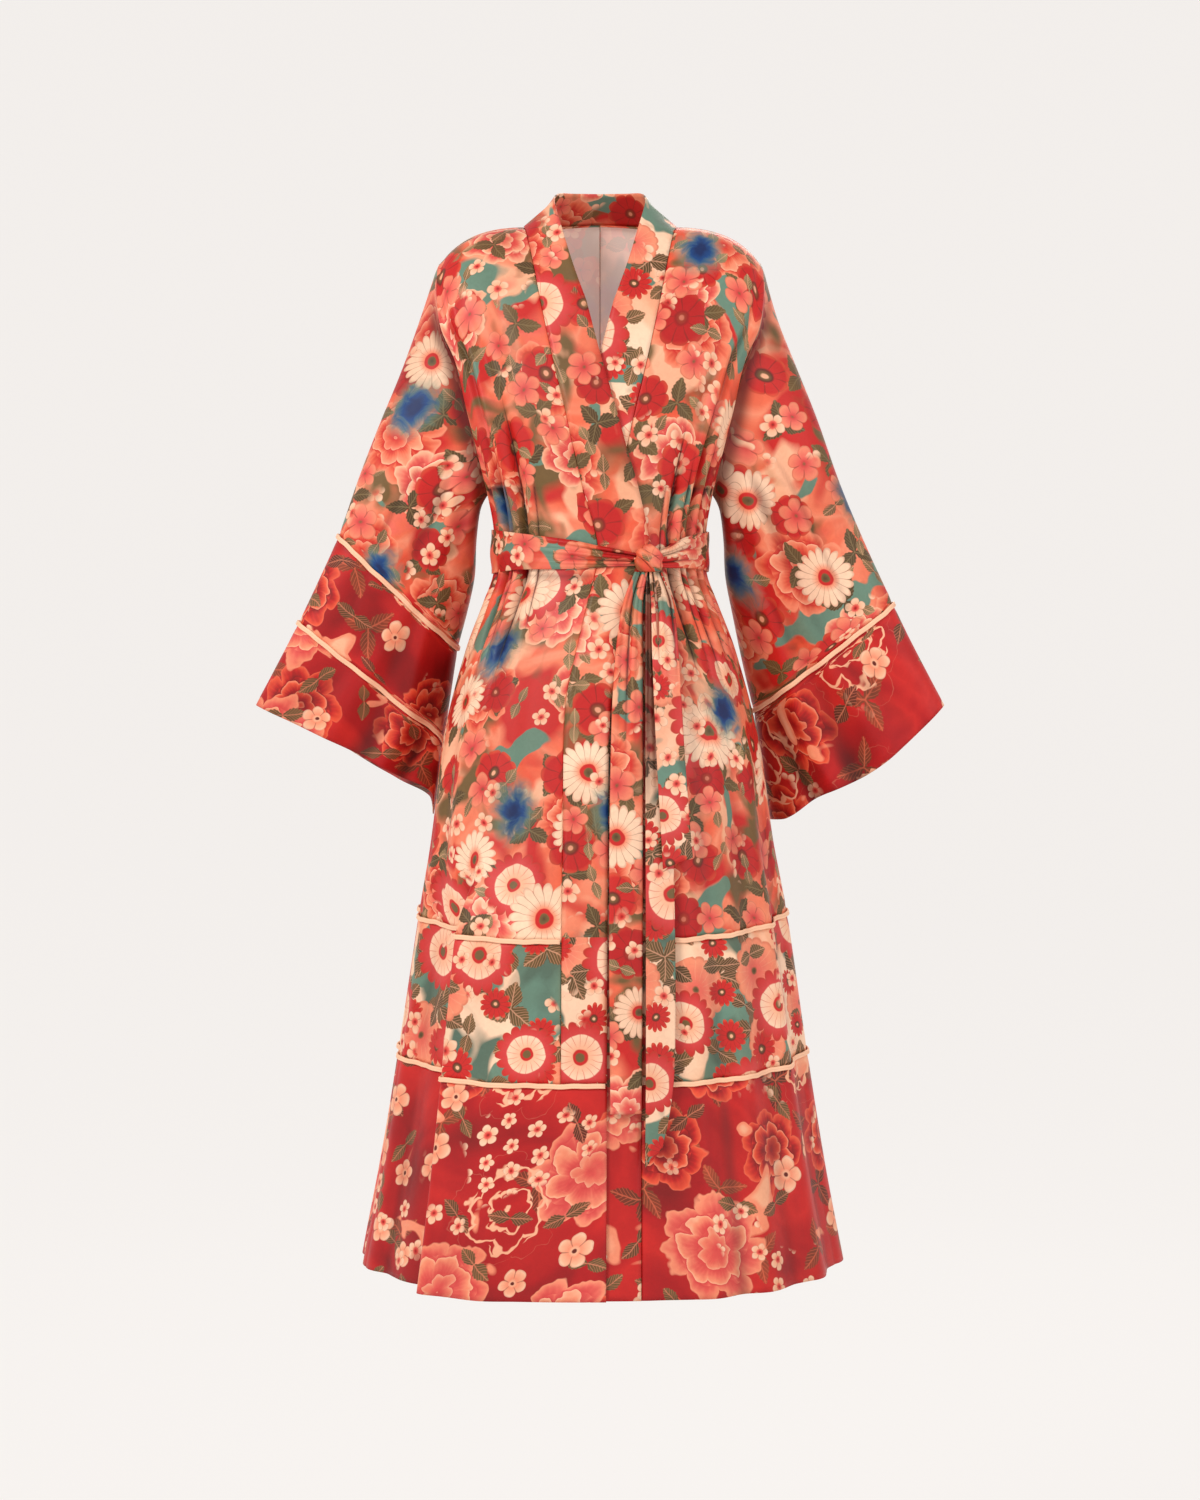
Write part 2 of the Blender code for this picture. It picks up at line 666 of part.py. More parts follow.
def sleeve_piping(name, shape, station, finish):
    """Piping round a sleeve, on the seam at a station."""
    side = shape[2]
    points = []
    for angle in spread(0, 360, 2 * ARMHOLE_STEPS)[:-1]:
        round_way = sleeve(*shape, station, angle + 0.5) - sleeve(*shape, station, angle - 0.5)
        down_way = sleeve(*shape, station + 0.02, angle) - sleeve(*shape, station - 0.02, angle)
        normal = round_way.cross(down_way).normalized() * side
        points.append(sleeve(*shape, station, angle) + normal * (CLOTH / 2 + PIPING_RADIUS + TOUCH))
    return cord(name, points, finish, closed=True)


def skirt_piping(name, end, right_x, left_x, finish):
    """Piping round the skirt on a tier seam, from the right front round the back to the left front."""
    lift = CLOTH / 2 + PIPING_RADIUS + TOUCH
    right_end, left_end = turn_at(right_x, end(0)), turn_at(left_x, end(0))
    right = [t for t in front_turns(-1, end(0))[1:] if t < right_end - 1 and not in_pocket(t)] + [right_end]
    left = [t for t in front_turns(1, end(0))[1:] if t > left_end + 1] + [left_end]
    points = [lifted(body, turn, end(turn), lift) for turn in reversed(right)]
    points += [lifted(body, turn, end(turn), lift) for turn in reversed(back_turns())]
    points += [lifted(left_front, turn, end(turn), lift) for turn in left]
    return cord(name, points, finish)


def in_pocket(turn):
    """Whether a turn is at the bottom of the deep fold, which the piping spans."""
    return DEEP_FOLD_POCKET[0] < math.radians(turn - DEEP_FOLD_TURN) * DEEP_FOLD_RADIUS < DEEP_FOLD_POCKET[1]


def belt_wrap(name, finish):
    """The belt round the waist, a closed strip that narrows to the knot."""
    rows = []
    for share in (1, 0, -1):
        row = []
        for index in range(BELT_TURNS + 1):
            turn = -180 + 360 * (index % BELT_TURNS) / BELT_TURNS
            centre, half = (read_table(BELT_LINE, turn, column) for column in (1, 2))
            x, y = belt_ring(turn)
            row.append(Vector((x, y, centre + half * share)))
        rows.append(row)
    return cloth(name, rows, finish, BELT_CLOTH, closed=True)


def belt_ring(turn):
    """The belt's place at a turn: the plain oval of the waist, outside cloth and band."""
    sine, cosine = math.sin(math.radians(turn)), math.cos(math.radians(turn))
    lift = BELT_LIFT + CLOTH / 2
    half_width = WAIST_OVAL[0] + lift
    depth = (WAIST_OVAL[1] if cosine > 0 else WAIST_OVAL[2]) + lift
    x = math.copysign(half_width * abs(sine) ** (2 / SQUARENESS), sine)
    y = math.copysign(depth * abs(cosine) ** (2 / SQUARENESS), -cosine)
    return x, y


def belt_knot(name, finish):
    """The knot, a soft lump on the belt with a flat back and underside."""
    ball = bmesh.new()
    bmesh.ops.create_uvsphere(ball, u_segments=KNOT_SEGMENTS, v_segments=KNOT_RINGS, radius=1)
    turn, z = KNOT_TURN, KNOT_HEIGHT
    x, belt_y = belt_ring(turn)
    across_size, depth, height = KNOT_HALF_SIZE
    before, after = belt_ring(turn - 8), belt_ring(turn + 8)
    slope = math.atan2(after[1] - before[1], after[0] - before[0])
    out = BELT_CLOTH / 2 + 2 * TOUCH + KNOT_BACK * depth
    centre_x, centre_y = x + out * math.sin(slope), belt_y - out * math.cos(slope)
    for vertex in ball.verts:
        px, py, pz = vertex.co
        py, pz = min(py, KNOT_BACK), max(pz, KNOT_UNDERSIDE)
        local = Vector((px * across_size, py * depth, pz * height))
        px = local.x * math.cos(slope) - local.y * math.sin(slope)
        py = local.x * math.sin(slope) + local.y * math.cos(slope)
        vertex.co = Vector((centre_x + px, centre_y + py, z + local.z))
    bmesh.ops.recalc_face_normals(ball, faces=ball.faces)
    mesh = bpy.data.meshes.new(name)
    ball.to_mesh(mesh)
    ball.free()
    mesh.shade_smooth()
    return add_object(name, mesh, finish)


def belt_end(name, table, finish, slant=0.0):
    """A loose end of the belt, hanging down the front of the skirt."""
    top, bottom = table[0][0], table[-1][0]
    rows = []
    for step in range(TAIL_STEPS + 1):
        height = top + (bottom - top) * step / TAIL_STEPS
        left, right, lift = (read_table(table, height, column) for column in (1, 2, 3))
        row = []
        for share in (0, 0.5, 1):
            x = left + (right - left) * share
            z = height + (slant * (share - 0.5) if step == TAIL_STEPS else 0)
            plain = body(turn_at(x, z), z)
            row.append(Vector((x, plain.y - lift - pleat_depth(turn_at(x, z), z), z)))
        rows.append(row)
    return cloth(name, rows, finish, TAIL_CLOTH)


def main():
    for old in list(bpy.data.objects):
        bpy.data.objects.remove(old, do_unlink=True)
    main_print = material("main print", MAIN_PRINT)
    tier_print = material("cream and teal print", TIER_PRINT)
    red_print = material("red print", RED_PRINT)
    piping = material("piping", PIPING_COLOUR)

    front_panel("front_right", -1, main_print)
    front_panel("front_left", 1, main_print)
    back_panel("back_right", -1, main_print)
    back_panel("back_left", 1, main_print)
    front_tier("tier_right", -1, upper_tier_end, middle_tier_end, TIER_STEPS, tier_print)
    front_tier("tier_left", 1, upper_tier_end, middle_tier_end, TIER_STEPS, tier_print)
    back_tier("tier_back", upper_tier_end, middle_tier_end, TIER_STEPS, tier_print)
    front_tier("hem_right", -1, middle_tier_end, hem, HEM_STEPS, red_print, to_edge=True)
    front_tier("hem_left", 1, middle_tier_end, hem, HEM_STEPS, red_print)
    back_tier("hem_back", middle_tier_end, hem, HEM_STEPS, red_print)
    front_band("front_band", main_print)

    right = (RIGHT_SLEEVE, RIGHT_CUFF, -1)
    left = (LEFT_SLEEVE, LEFT_CUFF, 1)
    sleeve_piece("sleeve_right", right, (0, 0.35, 1, 2, 3, 4, 5), main_print)
    sleeve_piece("sleeve_right_band", right, (5, 6, 7), red_print)
    sleeve_piece("cuff_right", right, (7, 8, 9), red_print)
    sleeve_piece("sleeve_left", left, (0, 0.35, 1, 2, 3, 4, 5, 6), main_print)
    sleeve_piece("cuff_left", left, (6, 7, 8, 9), red_print)
    sleeve_piping("piping_right_upper", right, 5, piping)
    sleeve_piping("piping_right_lower", right, 7, piping)
    sleeve_piping("piping_left", left, 6, piping)
    skirt_piping("piping_skirt_upper", upper_tier_end, -0.0460, 0.0530, piping)
    skirt_piping("piping_skirt_lower", middle_tier_end, 0.0060, 0.0530, piping)

    belt_wrap("belt_wrap", main_print)
    belt_knot("belt_knot", main_print)
    belt_end("belt_near_tail", NEAR_TAIL, main_print)
    belt_end("belt_short_end", SHORT_END, main_print, slant=0.012)
    belt_end("belt_long_tail", LONG_TAIL, main_print, slant=0.020)


main()
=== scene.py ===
"""Looks of a full-length printed kimono robe, worn shape with no wearer inside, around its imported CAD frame.

Metres, +Z up, front towards -Y. Right and left are the wearer's, so the right side is at -X.
"""

import math
from functools import lru_cache, partial

import bmesh
import bpy
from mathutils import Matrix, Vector, noise


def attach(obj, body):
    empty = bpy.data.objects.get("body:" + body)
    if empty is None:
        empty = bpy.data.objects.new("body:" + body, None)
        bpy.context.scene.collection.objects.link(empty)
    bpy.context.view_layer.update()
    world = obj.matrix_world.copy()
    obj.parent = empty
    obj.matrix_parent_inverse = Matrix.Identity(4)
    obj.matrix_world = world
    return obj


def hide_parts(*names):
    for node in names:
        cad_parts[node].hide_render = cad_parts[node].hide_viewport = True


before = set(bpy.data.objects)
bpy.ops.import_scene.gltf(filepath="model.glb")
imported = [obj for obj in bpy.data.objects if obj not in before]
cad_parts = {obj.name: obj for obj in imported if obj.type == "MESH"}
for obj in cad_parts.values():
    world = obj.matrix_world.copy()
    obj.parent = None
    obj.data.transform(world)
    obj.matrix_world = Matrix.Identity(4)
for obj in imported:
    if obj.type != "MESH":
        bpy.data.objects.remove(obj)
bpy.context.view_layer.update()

# Main levels of the garment, below the shoulder line
UNDERARM = -0.306
BELT_TOP = -0.355
BELT_BOTTOM = -0.407

# Shoulder, neck and armhole
NECK_HALF_WIDTH = 0.092
NECK_POINT_HEIGHT = 0.011
BACK_NECK_RISE = 0.011
BACK_NECK_DEPTH = 0.076
SHOULDER_LINE_Y = 0.008
SHOULDER_FALL = 2.2
SHOULDER_END_FALL = 190.0
SHOULDER_ROUND = 0.100
ARMHOLE_HALF_DEPTH = 0.052
ARMHOLE_ROUND = 0.100
SQUARENESS = 2.3

# Thickness of the cloth, how far a seam sinks, and the width turned in behind it
SINGLE_CLOTH = 0.0009
BAND_CLOTH = 0.0019
BELT_CLOTH = 0.0014
SEAM_SINK = 0.0011
SEAM_ALLOWANCE = 0.0035

# Rings of the body: level, half width, depth in front of the side seams, depth behind them
BODY_RINGS = (
    (0.000, 0.195, 0.050, 0.097),
    (-0.045, 0.195, 0.061, 0.101),
    (-0.100, 0.189, 0.078, 0.107),
    (-0.153, 0.172, 0.092, 0.110),
    (-0.211, 0.160, 0.105, 0.107),
    (-0.261, 0.148, 0.109, 0.100),
    (-0.306, 0.137, 0.110, 0.092),
    (-0.355, 0.1275, 0.1112, 0.0815),
    (-0.407, 0.1280, 0.1122, 0.0820),
    (-0.440, 0.140, 0.118, 0.092),
    (-0.500, 0.163, 0.132, 0.112),
    (-0.610, 0.192, 0.150, 0.140),
    (-0.732, 0.208, 0.170, 0.165),
    (-0.816, 0.223, 0.185, 0.180),
    (-0.985, 0.248, 0.205, 0.203),
    (-1.120, 0.270, 0.220, 0.222),
    (-1.245, 0.294, 0.235, 0.242),
)

# Front edges, as distances across the front: level, right seam, right free edge, left seam, left free edge
FRONT_EDGES = (
    (0.000, -0.0920, -0.0530, 0.0920, 0.0530),
    (-0.0116, -0.0875, -0.0450, 0.0875, 0.0450),
    (-0.045, -0.0800, -0.0310, 0.0800, 0.0310),
    (-0.094, -0.0700, -0.0160, 0.0700, 0.0160),
    (-0.153, -0.0570, 0.0000, 0.0570, 0.0000),
    (-0.211, -0.0425, 0.0175, 0.0425, -0.0175),
    (-0.261, -0.0310, 0.0315, 0.0310, -0.0315),
    (-0.306, -0.0200, 0.0450, 0.0200, -0.0450),
    (-0.381, -0.0020, 0.0580, 0.0020, -0.0580),
    (-0.440, -0.0140, 0.0430, 0.0150, -0.0400),
    (-0.500, -0.0280, 0.0260, 0.0330, -0.0210),
    (-0.560, -0.0400, 0.0130, 0.0455, -0.0085),
    (-0.700, -0.0430, 0.0095, 0.0475, -0.0065),
    (-1.245, -0.0460, 0.0070, 0.0475, -0.0065),
)

# Free edge of the neck band from centre back to the neck point and on down the front: station, x, y, z
NECK_EDGE = (
    (0, 0.000, 0.050, 0.055),
    (1, 0.030, 0.046, 0.055),
    (2, 0.050, 0.030, 0.053),
    (3, 0.055, 0.003, 0.041),
    (4, 0.047, -0.026, 0.011),
    (5, 0.032, -0.059, -0.040),
)
NECK_TURNS = ((0, 180.0), (1, 172.0), (2, 164.0), (3, 155.1))

# Pleats drawn in by the belt: turn, half width in metres, depth at the belt, depth at the hem, level where it fades
# out, lean of the crease in degrees towards the fading end, and 1 or -1 for the side that the pleat laps towards
PLEATS = (
    (-60.0, 0.0070, 0.0130, 0.0020, -0.215, -2.0, 1),
    (-45.5, 0.0085, 0.0165, 0.0010, -0.140, 1.5, 1),
    (-53.0, 0.0045, 0.0070, 0.0000, -0.260, 1.0, 1),
    (-33.0, 0.0050, 0.0035, 0.0000, -0.250, 2.0, 1),
    (41.0, 0.0075, 0.0145, 0.0010, -0.185, -1.5, -1),
    (48.5, 0.0055, 0.0090, 0.0000, -0.190, 1.0, -1),
    (56.0, 0.0065, 0.0135, 0.0015, -0.150, 3.0, -1),
    (66.0, 0.0060, 0.0110, 0.0015, -0.200, 3.0, -1),
    (33.0, 0.0045, 0.0040, 0.0000, -0.270, -1.0, -1),
    (-74.0, 0.0060, 0.0080, 0.0030, -0.230, -2.0, 1),
    (77.0, 0.0055, 0.0070, 0.0030, -0.240, 2.0, -1),
    (103.0, 0.0060, 0.0090, 0.0030, -0.240, 1.0, 1),
    (118.0, 0.0070, 0.0130, 0.0060, -0.190, 2.0, 1),
    (134.0, 0.0065, 0.0110, 0.0070, -0.215, -1.5, 1),
    (149.0, 0.0055, 0.0080, 0.0040, -0.240, 1.0, 1),
    (163.0, 0.0055, 0.0090, 0.0050, -0.225, -1.0, 1),
    (-105.0, 0.0060, 0.0095, 0.0040, -0.230, -1.0, -1),
    (-121.0, 0.0070, 0.0125, 0.0050, -0.200, 1.5, -1),
    (-138.0, 0.0065, 0.0115, 0.0060, -0.180, 1.5, -1),
    (-152.0, 0.0055, 0.0080, 0.0030, -0.245, -1.0, -1),
    (-167.0, 0.0055, 0.0085, 0.0050, -0.230, 1.0, -1),
)

# Soft folds of the skirt: turn, half width in metres, depth (negative stands out), level where it starts, full level
SKIRT_FOLDS = (
    (-84.0, 0.016, 0.0080, -0.46, -0.70),
    (-72.0, 0.020, -0.0050, -0.48, -0.80),
    (-64.0, 0.015, 0.0060, -0.50, -0.66),
    (-55.0, 0.020, -0.0045, -0.45, -0.62),
    (-29.0, 0.016, 0.0040, -0.47, -0.72),
    (-22.0, 0.018, -0.0040, -0.60, -0.90),
    (24.0, 0.016, -0.0035, -0.46, -0.62),
    (32.0, 0.016, 0.0045, -0.43, -0.60),
    (40.0, 0.018, -0.0050, -0.55, -0.80),
    (50.0, 0.018, 0.0045, -0.50, -0.75),
    (61.0, 0.020, -0.0055, -0.46, -0.75),
    (71.0, 0.018, 0.0060, -0.52, -0.72),
    (82.0, 0.020, -0.0045, -0.56, -0.90),
    (96.0, 0.018, 0.0080, -0.48, -0.75),
    (109.0, 0.022, -0.0060, -0.50, -0.85),
    (123.0, 0.018, 0.0090, -0.46, -0.72),
    (137.0, 0.024, -0.0065, -0.52, -0.84),
    (151.0, 0.018, 0.0085, -0.47, -0.78),
    (165.0, 0.022, -0.0050, -0.55, -0.86),
    (177.0, 0.016, 0.0045, -0.60, -0.92),
    (-98.0, 0.020, 0.0085, -0.50, -0.76),
    (-112.0, 0.022, -0.0060, -0.52, -0.84),
    (-126.0, 0.018, 0.0090, -0.46, -0.72),
    (-141.0, 0.024, -0.0060, -0.50, -0.80),
    (-155.0, 0.018, 0.0080, -0.48, -0.80),
    (-169.0, 0.022, -0.0045, -0.58, -0.90),
)

# Soft folds of the bodice: turn at the shoulder, turn at the belt, half width in metres, depth, level of its middle
BODICE_FOLDS = (
    (-76.0, -52.0, 0.012, 0.0065, -0.17),
    (-60.0, -38.0, 0.011, 0.0045, -0.23),
    (-68.0, -46.0, 0.010, -0.0040, -0.20),
    (-40.0, -30.0, 0.012, 0.0025, -0.16),
    (75.0, 51.0, 0.012, 0.0060, -0.17),
    (60.0, 38.0, 0.011, 0.0045, -0.24),
    (68.0, 46.0, 0.010, -0.0040, -0.20),
    (44.0, 34.0, 0.012, 0.0020, -0.17),
    (102.0, 118.0, 0.014, 0.0060, -0.18),
    (132.0, 142.0, 0.016, 0.0045, -0.20),
    (-104.0, -120.0, 0.014, 0.0060, -0.17),
    (-134.0, -146.0, 0.016, 0.0045, -0.21),
)

# Valley where the sleeve's weight pulls at the armhole: depth, half width, levels where it starts and is full,
# and where it is gone and starts to go
ARMHOLE_VALLEY = (0.0060, 0.012, -0.060, -0.190, -0.335, -0.290)

# Deep fold in the right front of the skirt, where the front lies over the part beside it
DEEP_FOLD_TURN = -41.0
DEEP_FOLD_WIDTH = 0.042
DEEP_FOLD_TUCK = 1.6
DEEP_FOLD_DEPTH = 0.024
DEEP_FOLD_TURN_IN = 0.022
DEEP_FOLD_REACH = 0.080
DEEP_FOLD_START = -0.700
DEEP_FOLD_FULL = -0.840
DEEP_FOLD_RADIUS = 0.21

# How far the left front lies under the right one, the levels over which that grows, and how far the band stands off
UNDERLAP = 0.0050
UNDERLAP_LEVELS = (-0.100, -0.170)
BAND_STAND = 0.004

# Sleeve sections: station, outer x, y, z, inner x, y, z, half depth. Outer is the shoulder edge, inner the underarm one
RIGHT_SLEEVE = (
    (0, 0.195, 0.008, -0.034, 0.137, 0.000, -0.306, 0.052),
    (1, 0.218, 0.004, -0.103, 0.146, 0.004, -0.332, 0.050),
    (2, 0.241, 0.002, -0.166, 0.151, 0.016, -0.368, 0.052),
    (3, 0.266, 0.000, -0.226, 0.154, 0.032, -0.412, 0.052),
    (4, 0.292, 0.000, -0.292, 0.164, 0.046, -0.455, 0.050),
    (5, 0.317, 0.000, -0.362, 0.176, 0.058, -0.500, 0.048),
    (6, 0.341, 0.000, -0.415, 0.186, 0.068, -0.560, 0.046),
    (7, 0.366, 0.000, -0.467, 0.196, 0.074, -0.621, 0.045),
    (8, 0.392, 0.000, -0.517, 0.204, 0.077, -0.668, 0.044),
    (9, 0.419, 0.000, -0.567, 0.214, 0.078, -0.715, 0.042),
)
LEFT_SLEEVE = (
    (0, 0.195, 0.008, -0.034, 0.137, 0.000, -0.306, 0.052),
    (1, 0.214, 0.004, -0.100, 0.146, 0.004, -0.332, 0.050),
    (2, 0.237, 0.002, -0.158, 0.151, 0.016, -0.368, 0.052),
    (3, 0.262, 0.000, -0.220, 0.154, 0.032, -0.412, 0.052),
    (4, 0.291, 0.000, -0.300, 0.164, 0.046, -0.460, 0.050),
    (5, 0.323, 0.000, -0.375, 0.176, 0.060, -0.515, 0.049),
    (6, 0.356, 0.000, -0.445, 0.191, 0.072, -0.578, 0.048),
    (7, 0.376, 0.000, -0.486, 0.199, 0.076, -0.626, 0.048),
    (8, 0.397, 0.000, -0.526, 0.206, 0.078, -0.670, 0.047),
    (9, 0.419, 0.000, -0.567, 0.214, 0.079, -0.715, 0.046),
)
SLEEVE_SQUARENESS = 2.2
CUFF_START = 8
LAST_STATION = 9

# Drop of the cuff's edge below a straight line: share of the way in from the outer corner, front layer, back layer
RIGHT_CUFF = (
    (0.00, 0.000, 0.000),
    (0.25, 0.012, 0.008),
    (0.50, 0.022, 0.014),
    (0.75, 0.028, 0.018),
    (0.93, 0.033, 0.024),
    (1.00, 0.010, 0.010),
)
LEFT_CUFF = (
    (0.00, 0.000, 0.000),
    (0.25, -0.010, 0.013),
    (0.50, -0.015, 0.028),
    (0.75, -0.005, 0.041),
    (0.93, -0.006, 0.042),
    (1.00, 0.002, 0.002),
)

# Sleeve folds that fall from the underarm: share inwards at the armhole, share at the cuff, half width, depth
SLEEVE_FOLDS = (
    (0.80, 0.20, 0.090, 0.0055),
    (0.93, 0.50, 0.090, 0.0062),
    (0.98, 0.80, 0.070, 0.0070),
    (0.55, 0.06, 0.050, 0.0030),
    (0.88, 0.35, 0.060, -0.0040),
    (0.96, 0.66, 0.050, -0.0040),
)

# Belt: turn, centre height, half width. It narrows to the knot. Its oval: half width, depth in front, depth behind
BELT_LINE = (
    (-180.0, -0.381, 0.0240),
    (-90.0, -0.381, 0.0255),
    (-45.0, -0.381, 0.0225),
    (-12.0, -0.385, 0.0175),
    (6.0, -0.389, 0.0100),
    (20.0, -0.391, 0.0060),
    (34.0, -0.388, 0.0110),
    (50.0, -0.382, 0.0180),
    (90.0, -0.381, 0.0255),
    (180.0, -0.381, 0.0240),
)
BELT_LIFT = 0.0018
WAIST_OVAL = (0.1285, 0.1120, 0.0825)
KNOT_TURN = 22.0
KNOT_HEIGHT = -0.3905
KNOT_HALF_SIZE = (0.0175, 0.0105, 0.0175)
BELT_GATHER = 0.0030
END_COLUMNS = 20

# Belt ends: height, left edge, right edge, distance from the skirt
NEAR_TAIL = (
    (-0.4052, 0.0410, 0.0560, 0.0090),
    (-0.440, 0.0280, 0.0500, 0.0085),
    (-0.500, 0.0185, 0.0500, 0.0075),
    (-0.600, 0.0130, 0.0500, 0.0065),
    (-0.800, 0.0105, 0.0495, 0.0060),
    (-1.030, 0.0120, 0.0480, 0.0060),
)
SHORT_END = (
    (-0.4052, 0.0580, 0.0720, 0.0112),
    (-0.440, 0.0600, 0.0850, 0.0140),
    (-0.500, 0.0610, 0.0920, 0.0155),
    (-0.620, 0.0660, 0.0990, 0.0160),
    (-0.743, 0.0730, 0.1080, 0.0165),
)
LONG_TAIL = (
    (-0.4052, 0.0550, 0.0700, 0.0068),
    (-0.440, 0.0540, 0.0760, 0.0095),
    (-0.500, 0.0535, 0.0800, 0.0105),
    (-0.700, 0.0530, 0.0850, 0.0105),
    (-0.980, 0.0530, 0.0860, 0.0105),
    (-1.080, 0.0520, 0.0720, 0.0105),
)

# Fineness of the cloth's grids: metres between rows, and columns over a front and over the band on its edge
LEVEL_STEP = 0.0070
UPPER_STEP = 0.0060
FRONT_COLUMNS = {-1: 150, 1: 112}
EDGE_COLUMNS = 16
BAND_COLUMNS = 10

# Edges of a panel that is sewn all round
ALL_ROUND = ("left", "right", "top", "bottom")

# Small ripples over all the cloth
RIPPLE = 0.0011

# Piping: half width and half thickness
PIPING_HALF_WIDTH = 0.0030
PIPING_HALF_DEPTH = 0.0016
PIPING_SIDES = 12


def smooth_step(start, end, value):
    share = min(1.0, max(0.0, (value - start) / (end - start)))
    return share * share * (3 - 2 * share)


@lru_cache(maxsize=200000)
def read_table(table, key, column):
    """Smooth value of a table's column at a key. Rows may run up or down, and ends are held."""
    rows = table if table[0][0] < table[-1][0] else table[::-1]
    if key <= rows[0][0]:
        return rows[0][column]
    if key >= rows[-1][0]:
        return rows[-1][column]
    i = next(k for k in range(len(rows) - 1) if key <= rows[k + 1][0])

    def rise(k):
        low, high = max(0, k - 1), min(len(rows) - 1, k + 1)
        return (rows[high][column] - rows[low][column]) / (rows[high][0] - rows[low][0])

    width = rows[i + 1][0] - rows[i][0]
    t = (key - rows[i][0]) / width
    start, end = rows[i][column], rows[i + 1][column]
    return (
        start * (2 * t**3 - 3 * t**2 + 1)
        + end * (3 * t**2 - 2 * t**3)
        + rise(i) * width * (t**3 - 2 * t**2 + t)
        + rise(i + 1) * width * (t**3 - t**2)
    )


def round_in(share):
    """A quarter circle from 0 to 1."""
    return math.sqrt(1 - (1 - min(1.0, max(0.0, share))) ** 2)


def shoulder_height(x, behind):
    past_neck = abs(x) - NECK_HALF_WIDTH
    if past_neck > 0:
        return NECK_POINT_HEIGHT - SHOULDER_FALL * past_neck**2 - SHOULDER_END_FALL * past_neck**4
    if behind:
        return NECK_POINT_HEIGHT + BACK_NECK_RISE * (1 - (x / NECK_HALF_WIDTH) ** 2)
    return NECK_POINT_HEIGHT


def shoulder_y(x, behind, level=0.0):
    """Depth of the shoulder line at a distance from centre. Below it, the corner at the neck point softens."""
    if not behind:
        return SHOULDER_LINE_Y
    inside = 1 - (x / NECK_HALF_WIDTH) ** 2
    soft = min(1.5, -level * 22)
    inside = (inside + math.sqrt(inside * inside + soft * soft)) / 2 - 0.16 * soft
    return SHOULDER_LINE_Y + BACK_NECK_DEPTH * math.sqrt(max(0.0, inside))


def turn_at(x, level):
    """Turn on the front that lies at a distance from the centre line."""
    share = min(1.0, abs(x) / read_table(BODY_RINGS, level, 1)) ** (SQUARENESS / 2)
    return math.copysign(math.degrees(math.asin(share)), x)


def turned(turn, centre):
    """Degrees from one turn to another, the short way round."""
    return (turn - centre + 180) % 360 - 180


def read_row(table, key, *columns):
    return [read_table(table, key, column) for column in columns]


def running(points):
    """Distances along a line of points, from 0."""
    total = [0.0]
    for first, second in zip(points, points[1:]):
        total.append(total[-1] + (second - first).length)
    return total


def bump(offset, half_width):
    return math.exp(-((offset / half_width) ** 2))


def fold_depth(turn, level):
    """How far the folds take the body's cloth inwards at a place."""
    per_degree = math.radians(1) * read_table(BODY_RINGS, level, 1)
    above = level > BELT_BOTTOM
    total = 0.0
    for centre, half_width, at_belt, at_hem, fade, lean, side in PLEATS:
        offset = turned(turn, centre)
        if abs(offset) > 24:
            continue
        if above:
            share = smooth_step(fade, BELT_TOP, level)
            if share == 0:
                continue
            offset = (offset - lean * (1 - share)) * per_degree * side
            depth, width = at_belt * share, half_width * (1 + 0.8 * (1 - share))
        else:
            near, below = smooth_step(BELT_BOTTOM, -0.58, level), smooth_step(BELT_BOTTOM, -0.80, level)
            offset *= per_degree * side
            depth = at_belt * (1 - near) + at_hem * below
            width = half_width * (1 + 0.9 * near + 2.4 * below)
        steep, gentle = 0.30 * width, 1.35 * width
        crease = math.exp(offset / steep) if offset < 0 else math.exp(-((offset / gentle) ** 1.2))
        total += depth * crease
        total -= 0.32 * depth * bump(offset + 1.6 * width, 1.1 * width)
    if level < -0.43:
        for centre, half_width, depth, start, full in SKIRT_FOLDS:
            offset = turned(turn, centre)
            if abs(offset) < 30:
                grown = smooth_step(start, full, level)
                total += depth * grown * bump(offset * per_degree, half_width * (0.7 + 0.5 * grown))
    if above:
        for at_shoulder, at_belt, half_width, depth, middle in BODICE_FOLDS:
            line = at_shoulder + (at_belt - at_shoulder) * level / BELT_TOP
            offset = turned(turn, line) * per_degree
            total += depth * bump(offset, half_width) * bump(level - middle, 0.11)
        depth, half_width, start, full, gone, going = ARMHOLE_VALLEY
        offset = (90 - abs(abs(turn) - 90) - 90) * per_degree
        total += depth * bump(offset, half_width) * smooth_step(start, full, level) * smooth_step(gone, going, level)
    return total


